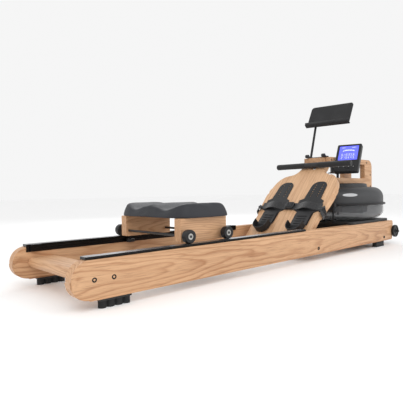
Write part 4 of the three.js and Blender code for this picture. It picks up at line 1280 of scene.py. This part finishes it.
    def plates(self) -> None:
        """Makes the foot plates, and the heel cups with their ribs."""
        for side, sign in SIDES:
            self.refine(f"foot_plate_{side}", DEEP_PLASTIC, 0.8 * MM, 2)
            self.refine(f"heel_plate_{side}", DEEP_PLASTIC, 1.1 * MM, 2, 50)
            place = self.slope() @ Matrix.Translation((-sign * self.foot_spacing / 2, 0, self.sole_top))
            ribs = []
            half_length, width = self.rib_half_length, self.rib_width
            for k in range(self.ribs):
                y = self.rib_start + self.rib_pitch * k
                bar = rounded_box(-half_length, y, half_length, y + width, 2.9 * MM)
                ribs.append(eased(extruded(bar, 1.6 * MM, place), 0.5 * MM, 2, 60))
            self.fit(f"heel_ribs_{side}", merged(ribs), DEEP_PLASTIC, f"heel_plate_{side}", False)

    def buckle(self) -> None:
        """Makes the rounded buckle between the feet, with its bars."""
        self.refine("strap_buckle", PLASTIC, 2.4 * MM, 4)
        place = self.slope() @ Matrix.Translation((0, self.strap_up, self.buckle_top))
        bars = []
        half_width, half_height = self.bar_half
        for x in (-self.bar_pitch, 0.0, self.bar_pitch):
            bar = rounded_box(x - half_width, -half_height, x + half_width, half_height, 3 * MM)
            bars.append(eased(extruded(bar, 3.0 * MM, place), 1.0 * MM, 2, 60))
        self.fit("buckle_bars", merged(bars), PLASTIC, "strap_buckle", False)

    def build(self) -> None:
        """Makes every piece of the footboard."""
        self.board()
        self.plates()
        self.strap()
        self.buckle()


# ---------------------------------------------------------------- tank and drive
@dataclass
class Tank(SubAssembly):
    """Smoked tank with its clamping ring, base clamps, impeller and drive."""

    wall: float = 268 * MM
    skin: float = 5 * MM
    neck: float = 170 * MM
    dome: float = 62 * MM
    neck_height: float = 22 * MM
    bowl: float = 78 * MM
    bend: float = 50 * MM
    flange: float = 6 * MM
    bore: float = 14 * MM
    joint: float = 0.3 * MM
    ring_ease: float = 4 * MM
    # place and size of the pale oval that paints a reflection on the cover
    reflection_turn: float = -135.0
    reflection_lean: float = 16.0
    reflection_size: tuple[float, float] = (42 * MM, 10 * MM)
    strap_width: float = 22 * MM
    strap_thickness: float = 1.8 * MM
    wind: float = 1.2 * MM

    def dome_line(self, top: float, offset: float) -> Outline:
        """Section of the upper shell from its wall to the neck's plateau.

        Args:
            top: height of the plateau.
            offset: outwards.

        Returns:
            Radius and height of each corner.
        """
        base = top - self.neck_height
        middle = self.wall - self.dome
        line = arc(middle, base - self.dome, self.dome + offset, 0, 90, 18)
        neck = self.neck
        line += [(neck + 14 * MM + offset, base + offset), (neck + 6 * MM + offset, base + 2 * MM + offset),
                 (neck + 2 * MM + offset, top - 4 * MM + offset), (neck - 1 * MM, top - 1 * MM + offset),
                 (neck - 6 * MM, top + offset)]
        return line

    def floor_line(self, low: float, offset: float) -> Outline:
        """Section of the lower shell's turn from its floor to its wall.

        Args:
            low: height of the shell's underside.
            offset: inwards.

        Returns:
            Radius and height of each corner, from the floor up.
        """
        start = self.wall - self.bowl
        wide, high = self.bowl - offset, self.bend - offset
        return [(start + x * wide, low + self.bend + y * high) for x, y in arc(0, 0, 1, -90, 0, 16)]

    def build(self) -> None:
        """Makes every piece of the tank."""
        low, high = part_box("tank_lower_shell")
        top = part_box("tank_upper_shell")[1].z
        ring_low, ring_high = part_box("tank_ring")
        x = (ring_low.x + ring_high.x) / 2
        part = high.z
        place = Matrix.Translation((x, 0, 0))
        w, wall = self.skin, self.wall
        rim, bore = wall + self.flange, self.bore
        bowl = [(0, low.z), *self.floor_line(low.z, 0), (wall, part - 6 * MM), (rim, part - 5 * MM)]
        bowl += [(rim, part), (wall - w, part), *reversed(self.floor_line(low.z, w)), (0, low.z + w)]
        self.fit("bowl", turned(bowl, place, 128), BOWL, "tank_lower_shell")
        seam = part + self.joint
        cover = [(rim, seam), (rim, seam + 5 * MM), (wall, seam + 6 * MM), *self.dome_line(top, 0),
                 (bore, top), (bore, top - w), *reversed(self.dome_line(top, -w)), (wall - w, seam)]
        self.fit("cover", turned(cover, place, 128), COVER, "tank_upper_shell")
        out = ring_high.x - x
        lip, e = rim + self.joint, self.ring_ease
        band = [(lip, ring_low.z), *arc(out - e, ring_low.z + e, e, -90, 0, 5),
                *arc(out - e, ring_high.z - e, e, 0, 90, 5), (lip, ring_high.z)]
        self.fit("clamp_ring", turned(band, place, 128), PLASTIC, "tank_ring")
        for side, _ in SIDES:
            self.refine(f"hold_down_{side}", PLASTIC, 1.2 * MM, 2)
        self.reflection_oval(x, top)
        self.refine("impeller", IMPELLER, 0.9 * MM, 2, 60)
        self.drive(x)

    def reflection_oval(self, x: float, top: float) -> None:
        """Sets a pale oval piece on the cover as a painted reflection of a soft light.

        Args:
            x: the tank's axis.
            top: height of the cover's plateau.
        """
        angle = math.radians(self.reflection_turn)
        lean = math.radians(self.reflection_lean)
        out = Vector((math.cos(angle) * math.cos(lean), math.sin(angle) * math.cos(lean), math.sin(lean)))
        middle = self.wall - self.dome
        bend = top - self.neck_height - self.dome
        spot = Vector((x + middle * math.cos(angle), middle * math.sin(angle), bend))
        spot += out * (self.dome + 0.2 * MM)
        sideways = Vector((-math.sin(angle), math.cos(angle), 0))
        up = out.cross(sideways)
        place = basis(sideways, up, out, spot)
        form = bmesh.new()
        rows = []
        (a, b), layers, around = self.reflection_size, 6, 64
        for k in range(layers + 1):
            share = k / layers
            row = []
            for i in range(around):
                t = TURN * i / around
                px, py = a * share * math.cos(t), b * share * math.sin(t)
                sink = px * px / (2 * self.wall) + py * py / (2 * self.dome)
                row.append(form.verts.new((px, py, 0.9 * MM * (1 - share ** 6) - sink)))
            rows.append(row)
        for near, far in zip(rows, rows[1:]):
            for i in range(around):
                j = (i + 1) % around
                form.faces.new((near[i], far[i], far[j], near[j]))
        bmesh.ops.remove_doubles(form, verts=form.verts, dist=1e-6)
        shell = bmesh.ops.extrude_face_region(form, geom=form.faces[:])["geom"]
        back = [g for g in shell if isinstance(g, bmesh.types.BMVert)]
        bmesh.ops.translate(form, verts=back, vec=(0, 0, -1.4 * MM))
        bmesh.ops.recalc_face_normals(form, faces=form.faces)
        form.transform(place)
        self.fit("painted_reflection_oval", form, REFLECTION_PAINT, "tank_upper_shell", False, "steel")

    def drive(self, x: float) -> None:
        """Makes the drum, its spring, the roller and the pull strap.

        Args:
            x: the tank's axis.
        """
        low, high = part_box("strap_drum")
        r, z0, z1 = (high.x - low.x) / 2, low.z, high.z
        core = r - 16 * MM
        bore, hub, cup, near = 8.3 * MM, 16 * MM, core - 5 * MM, r - 1 * MM
        spool = [(bore, z0), (near, z0), (r, z0 + 1 * MM), (r, z0 + 3 * MM), (near, z0 + 4 * MM),
                 (core, z0 + 7 * MM), (core, z1 - 7 * MM), (near, z1 - 4 * MM), (r, z1 - 3 * MM),
                 (r, z1 - 1 * MM), (near, z1), (cup, z1), (cup, z0 + 8 * MM), (hub, z0 + 8 * MM),
                 (hub, z1 - 2 * MM), (bore, z1 - 2 * MM)]
        self.fit("spool", turned(spool, Matrix.Translation((x, 0, 0)), 72), PLASTIC, "strap_drum")
        self.refine("recoil_spring", Steel("spring_steel", (0.4, 0.4, 0.42)), 0.2 * MM, 1, 80)
        self.refine("strap_roller", PLASTIC, 0.5 * MM, 2, 60)
        self.pull_strap(x, core)

    def pull_strap(self, x: float, core: float) -> None:
        """Makes the webbing from the handle over the roller to the drum.

        Args:
            x: the tank's axis.
            core: radius that the strap winds on.
        """
        low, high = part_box("strap_roller")
        roller = (low + high) / 2
        strap_low, strap_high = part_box("pull_strap")
        drum_low, drum_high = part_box("strap_drum")
        lift = strap_high.z - roller.z - self.strap_thickness / 2
        start = Vector((strap_low.x + 0.2 * MM, 0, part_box("handle_bar")[1].z - 9 * MM))
        end = Vector((x - 8 * MM, -(core + self.wind), (drum_low.z + drum_high.z) / 2))
        crest = [Vector((px, 0, pz)) for px, pz in arc(roller.x, roller.z, lift, 100, 82, 2)]
        line = [start, *crest, *[crest[-1].lerp(end, f) for f in (0.2, 0.4, 0.6, 0.8)], end]
        lengths = [0.0]
        for a, b in zip(line, line[1:]):
            lengths.append(lengths[-1] + (b - a).length)

        def run(t: float) -> Vector:
            """The strap's middle line."""
            far = t * lengths[-1]
            i = max(k for k in range(len(line) - 1) if lengths[k] <= far + 1e-9)
            return line[i].lerp(line[i + 1], (far - lengths[i]) / (lengths[i + 1] - lengths[i]))

        def across(t: float) -> Vector:
            """The strap's width direction, which turns on edge before the drum."""
            twist = min(1.0, max(0.0, (t - 0.25) / 0.6)) * math.pi / 2
            return Vector((0, math.cos(twist), math.sin(twist)))

        form = ribbon(run, across, self.strap_width, self.strap_thickness, 160)
        mesh = bpy.data.meshes.new("pull_webbing")
        form.to_mesh(mesh)
        form.free()
        mesh.materials.append(Weave("pull_webbing_weave", (0, 0, 0), 0.0026, 0.002).material())
        mesh.shade_smooth()
        mesh.set_sharp_from_angle(angle=math.radians(50))
        piece = bpy.data.objects.new("pull_webbing", mesh)
        bpy.context.scene.collection.objects.link(piece)
        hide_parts("pull_strap")
        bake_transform(piece)
        LOG.info("pull_webbing bends between handle and frame")


# ---------------------------------------------------------------- tower, handle
@dataclass
class Tower(SubAssembly):
    """Open side frames, deck and the hooks that park the handle."""

    bolt_size: float = 0.8
    ease: float = 2.6 * MM

    def build(self) -> None:
        """Makes every piece of the tower."""
        bolts = Bolts()
        deck_low, deck_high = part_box("tower_deck")
        for side, sign in SIDES:
            node = f"tower_side_{side}"
            pith = (sign * 0.02, 0.43 + 0.02 * sign)
            wood = Timber(f"ash_tower_{side}", Grain.ALONG, pith, 0.04, 0.010, 0.6)
            self.refine(node, wood, self.ease)
            low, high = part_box(node)
            outer = sign * max(abs(low.y), abs(high.y))
            upright = high.x - 22 * MM
            spots = ((upright, high.z - 95 * MM), (high.x - 72 * MM, high.z - 18 * MM),
                     (upright, high.z - 170 * MM), (deck_low.x + 24 * MM, high.z - 16 * MM))
            for i, (px, pz) in enumerate(spots):
                name = f"tower_bolt_{side}_{i + 1}"
                bolts.drive(name, (px, outer, pz), (0, sign, 0), node, self.bolt_size)
        self.refine("tower_deck", Timber("ash_deck", Grain.ALONG, (0.03, 0.45), 0.05, 0.009, 0.65), 2 * MM)
        for i, px in enumerate((deck_low.x + 90 * MM, deck_high.x - 60 * MM)):
            bolts.drive(f"deck_bolt_{i + 1}", (px, 0, deck_high.z), (0, 0, 1), "tower_deck", self.bolt_size)
        self.refine("handle_hooks", PLASTIC, 1.4 * MM, 3)


@dataclass
class Handle(SubAssembly):
    """Straight pull bar with two foam grips."""

    bore: float = 12.4 * MM
    nose: float = 7 * MM
    waist: float = 0.35 * MM
    cap: float = 2.6 * MM

    def build(self) -> None:
        """Makes the bar and both grips."""
        self.refine("handle_bar", PLASTIC, 1.2 * MM, 2, 50)
        for side, sign in SIDES:
            node = f"handle_grip_{side}"
            low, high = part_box(node)
            r, length = (high.z - low.z) / 2, high.y - low.y
            at = Vector((low.x + r, low.y if sign > 0 else high.y, (low.z + high.z) / 2))
            bore, nose, steps = self.bore, self.nose, 9
            lip, floor = 3 * MM, length - self.cap
            sleeve = [(bore, 0.0), (r - 1.5 * MM, 0.0), (r - 0.4 * MM, 0.8 * MM), (r, lip)]
            for k in range(1, steps):
                hollow = self.waist * math.sin(math.pi * k / steps)
                sleeve.append((r - hollow, lip + (length - 12 * MM) * k / steps))
            sleeve += arc(r - nose, length - nose, nose, 0, 90, 8)
            sleeve += [(0.0, length), (0.0, floor), (bore, floor)]
            place = standing(at, (0, sign, 0))
            grip = self.fit(f"foam_grip_{side}", turned(sleeve, place, 64), GRIP_FOAM, node)


# ---------------------------------------------------------------- monitor
@dataclass
class Monitor(SubAssembly):
    """Tilting computer with a lit panel and four keys."""

    swivel: float = 12.0
    tilt: float = 30.0
    panel_half: tuple[float, float] = (54.4 * MM, 47.4 * MM)

    def face(self) -> Matrix:
        """The panel's own frame: X to the reader's right, Y up, Z out of the face.

        Returns:
            The matrix, with its origin at the middle of the panel.
        """
        low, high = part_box("monitor_screen")
        return facing((low + high) / 2, self.swivel, self.tilt)

    def build(self) -> None:
        """Makes every piece of the monitor."""
        self.refine("monitor_housing", Moulded("monitor_case", roughness=0.36, grain=1100.0), 1.5 * MM, 3)
        self.refine("monitor_arm", POWDER_COAT, 0.8 * MM, 2, 60)
        for i in range(4):
            self.refine(f"monitor_button_{i + 1}", DEEP_PLASTIC, 0.6 * MM, 2, 60)
            self.key_mark(i)
        place = self.face()
        w, h = self.panel_half
        back = place @ Matrix.Translation((0, 0, -1 * MM))
        glass = eased(extruded(rounded_box(-w, -h, w, h, 2 * MM), 2.0 * MM, back), 0.3 * MM, 2, 60)
        self.fit("lit_panel", glass, Backlight("backlight", (0.085, 0.10, 0.72), 0.75), "monitor_screen")
        self.readings(place @ Matrix.Translation((0, 0, 1.1 * MM)))

    def key_mark(self, index: int) -> None:
        """Prints the pale mark on one key.

        Args:
            index: which key, from 0.
        """
        node = f"monitor_button_{index + 1}"
        low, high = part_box(node)
        place = facing((low + high) / 2, self.swivel, self.tilt) @ Matrix.Translation((0, 0, 2.0 * MM))
        shapes = (rounded_box(-2.4 * MM, -0.9 * MM, 2.4 * MM, 0.9 * MM, 0.8 * MM),
                  rounded_box(-1.8 * MM, -1.8 * MM, 1.8 * MM, 1.8 * MM, 1.7 * MM),
                  rounded_box(-3.0 * MM, -0.8 * MM, 3.0 * MM, 0.8 * MM, 0.7 * MM),
                  rounded_box(-0.9 * MM, -2.4 * MM, 0.9 * MM, 2.4 * MM, 0.8 * MM))
        form = eased(extruded(shapes[index], 0.4 * MM, place), 0.1 * MM, 1, 60)
        self.fit(f"key_mark_{index + 1}", form, KEY_PRINT, node, False)

    def readings(self, place: Matrix) -> None:
        """Draws the panel's bars and plain seven-bar digits.

        Args:
            place: the panel's frame.
        """
        bars = []

        def bar(x0: float, y0: float, x1: float, y1: float) -> None:
            """One lit bar between two corners, in millimetres."""
            edge = min(x1 - x0, y1 - y0) * 0.4
            outline = [(px * MM, py * MM) for px, py in rounded_box(x0, y0, x1, y1, edge)]
            bars.append(extruded(outline, 0.25 * MM, place))

        def digit(x: float, y: float, w: float, h: float, lit: str) -> None:
            """A seven-bar digit from the bars a to g that are lit."""
            t = w * 0.2
            left, right, top = x + t, x + w - t, y + h
            under, over = y + h / 2 - t / 2, y + h / 2 + t / 2
            places = {"a": (left, top - t, right, top), "g": (left, under, right, over),
                      "d": (left, y, right, y + t), "f": (x, over, left, top - t),
                      "b": (right, over, x + w, top - t), "e": (x, y + t, left, under),
                      "c": (right, y + t, x + w, under)}
            for letter in lit:
                bar(*places[letter])

        for i in range(17):
            spread = (i - 8) / 8
            foot = 11 + 5 * (1 - spread * spread)
            bar(-34 + i * 4, foot, -34 + i * 4 + 2.4, foot + 4 + 4 * abs(math.sin(1.7 * i)))
        digits = ("abcdef", "bc", "abged", "abcdg", "fgbc", "afgcd")
        for i in range(6):
            digit(-38 + i * 13.2, -16, 7.0, 12, digits[i])
            digit(-38 + i * 13.2, -38, 7.0, 12, digits[(i * 5 + 2) % 6])
        bar(-40, -20.5, 40, -19.9)
        bar(-40, 36, -22, 37.6)
        bar(18, 36, 40, 37.6)
        lit = Backlight("lit_bars", (0.62, 0.66, 1.0), 0.9)
        self.fit("lit_readings", merged(bars), lit, "monitor_screen", False)


# ---------------------------------------------------------------- tablet holder
@dataclass
class TabletHolder(SubAssembly):
    """Tray with a rolled lip, on a pole that swivels on the deck."""

    swivel: float = 8.0
    tilt: float = 32.0
    half: float = 133 * MM
    height: float = 154 * MM
    spot: tuple[float, float, float] = (80 * MM, -28 * MM, 197 * MM)
    corner: float = 18 * MM
    sheet: float = 5 * MM
    lip: float = 24 * MM
    ledge_past: float = 4 * MM
    clamp_inset: float = 48 * MM
    clamp_up: float = 26 * MM
    clamp_behind: float = 13 * MM
    pin: float = 3.4 * MM

    def build(self) -> None:
        """Makes the tray and the pole."""
        self.refine("holder_pole", POWDER_COAT, 0.8 * MM, 2, 60)
        low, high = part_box("tower_deck")
        ahead, aside, above = self.spot
        place = facing(Vector((low.x + ahead, aside, high.z + above)), self.swivel, self.tilt)
        pieces = [self.plate(place), self.ledge(place), *self.clamp(place)]
        self.fit("tray", merged(pieces), TRAY_SKIN, "tablet_tray")

    def plate(self, place: Matrix) -> bmesh.types.BMesh:
        """The sheet that a tablet leans on.

        Args:
            place: the tray's frame.

        Returns:
            The form.
        """
        half, c = self.half, self.corner
        side, top = half - c, self.height - c
        outline = [(-half, 2 * MM), (half, 2 * MM), *arc(side, top, c, 0, 90, 12)]
        outline += arc(-side, top, c, 90, 180, 12)
        back = place @ Matrix.Translation((0, 0, -self.sheet))
        return eased(extruded(outline, self.sheet, back), 1.2 * MM, 3, 60)

    def ledge(self, place: Matrix) -> bmesh.types.BMesh:
        """The lip along the sheet's foot, rolled back over itself.

        Args:
            place: the tray's frame.

        Returns:
            The form.
        """
        outer, inner = self.lip / 2, self.lip / 2 - 4 * MM
        x, y = outer - 2 * MM, self.lip - outer
        foot, under = 4 * MM, -self.sheet
        roll = [(-2 * MM, under), *arc(x, y, outer, 180, 10, 18), *arc(x, y, inner, 10, 180, 18),
                (2 * MM, 0.0), (foot, 0.0), (foot, under)]
        reach = self.half + self.ledge_past
        return eased(extruded(roll, 2 * reach, place @ self.across(-reach)), 0.8 * MM, 2, 60)

    def clamp(self, place: Matrix) -> list[bmesh.types.BMesh]:
        """The two ears behind the sheet and the pin through them.

        Args:
            place: the tray's frame.

        Returns:
            The ears and the pin.
        """
        x, y, z = -self.half + self.clamp_inset, self.clamp_up, -self.sheet - self.clamp_behind
        width, root, r = 6 * MM, -self.sheet + 1 * MM, self.pin
        parts = []
        for sign in (-1, 1):
            at = place @ self.across(x + sign * 18 * MM - width / 2, y)
            ear = [(-8 * MM, root), (8 * MM, root), *arc(0, z, 7 * MM, 0, -180, 14)]
            parts.append(eased(extruded(ear, width, at), 0.8 * MM, 2, 60))
        length = 40 * MM
        bar = [(0, 0), (r, 0), (r, length), (0, length)]
        parts.append(turned(bar, place @ self.across(x - length / 2, y, z), 24))
        return parts

    def across(self, x: float, y: float = 0.0, z: float = 0.0) -> Matrix:
        """A frame on the tray whose Z runs to the reader's right and whose X runs up the sheet.

        Args:
            x: its origin to the right.
            y: its origin up the sheet.
            z: its origin out of the sheet.

        Returns:
            The matrix.
        """
        return Matrix(((0, 0, 1, x), (1, 0, 0, y), (0, 1, 0, z), (0, 0, 0, 1)))


# ---------------------------------------------------------------- studio
@dataclass
class Studio:
    """Pale floor, soft lights and the camera."""

    sky: float = 0.92
    aim: tuple[float, float, float] = (0.1, 0.0, 0.2)
    lamps: tuple[tuple[str, tuple[float, float, float], float, float], ...] = (
        ("key_light", (-2.4, -2.2, 3.0), 2.2, 42.0),
        ("side_light", (1.2, -3.2, 1.8), 1.6, 16.0),
        ("rim_light", (1.6, 2.8, 2.2), 1.8, 20.0))
    eye: tuple[float, float, float] = (-1.5787, -1.3821, 0.3390)
    heading: float = 44.24
    pitch: float = -1.25
    roll: float = -0.89
    lens: float = 37.34
    shift: tuple[float, float] = (-0.05, 0.0)

    def camera(self) -> None:
        """Sets up the camera."""
        data = bpy.data.cameras.new("camera")
        data.lens = self.lens
        data.sensor_width = 36.0
        data.shift_x, data.shift_y = self.shift
        data.clip_start, data.clip_end = 0.02, 100.0
        camera = bpy.data.objects.new("camera", data)
        yaw, pitch, roll = (math.radians(v) for v in (self.heading, self.pitch, self.roll))
        ahead = Vector((math.sin(yaw) * math.cos(pitch), math.cos(yaw) * math.cos(pitch), math.sin(pitch)))
        level = Vector((math.cos(yaw), -math.sin(yaw), 0))
        above = level.cross(ahead)
        right = level * math.cos(roll) + above * math.sin(roll)
        up = above * math.cos(roll) - level * math.sin(roll)
        camera.matrix_world = basis(right, up, -ahead, self.eye)
        bpy.context.scene.collection.objects.link(camera)
        bpy.context.scene.camera = camera

    def light(self, name: str, at: Sequence[float], size: float, power: float) -> None:
        """Hangs one square soft light that faces the machine.

        Args:
            name: the light's name.
            at: where it hangs.
            size: length of its side.
            power: in watts.
        """
        data = bpy.data.lights.new(name, "AREA")
        data.size = size
        data.energy = power
        lamp = bpy.data.objects.new(name, data)
        lamp.location = at
        lamp.rotation_euler = (Vector(self.aim) - Vector(at)).to_track_quat("-Z", "Y").to_euler()
        bpy.context.scene.collection.objects.link(lamp)

    def floor(self) -> None:
        """Lays the floor."""
        form = bmesh.new()
        bmesh.ops.create_grid(form, x_segments=4, y_segments=4, size=30.0)
        mesh = bpy.data.meshes.new("floor")
        form.to_mesh(mesh)
        form.free()
        w = Wiring("floor_paint")
        cloud = w.noise(w.place, 3.0, 2.0)
        w.set(Base_Color=w.mix(cloud, (0.965,) * 3, (0.98,) * 3), Roughness=0.9, Specular_IOR_Level=0.1)
        mesh.materials.append(w.material)
        floor = bpy.data.objects.new("floor", mesh)
        bpy.context.scene.collection.objects.link(floor)

    def build(self) -> None:
        """Sets up the whole studio."""
        self.camera()
        self.floor()
        world = bpy.data.worlds.new("studio")
        world.use_nodes = True
        background = world.node_tree.nodes["Background"]
        background.inputs[0].default_value = (1.0, 1.0, 1.0, 1.0)
        background.inputs[1].default_value = self.sky
        bpy.context.scene.world = world
        bpy.context.scene.view_settings.view_transform = "Standard"
        for name, at, size, power in self.lamps:
            self.light(name, at, size, power)


def main() -> None:
    """Builds the studio and every sub-assembly."""
    logging.basicConfig(level=logging.INFO, format="%(message)s")
    Studio().build()
    makers = (BaseFrame(), TransportWheels(), Carriage(), Cushion(), Footboard(), Tank(), Tower(), Handle(),
              Monitor(), TabletHolder())
    for maker in makers:
        LOG.info("building %s", type(maker).__name__)
        maker.build()


if __name__ == "__main__":
    main()
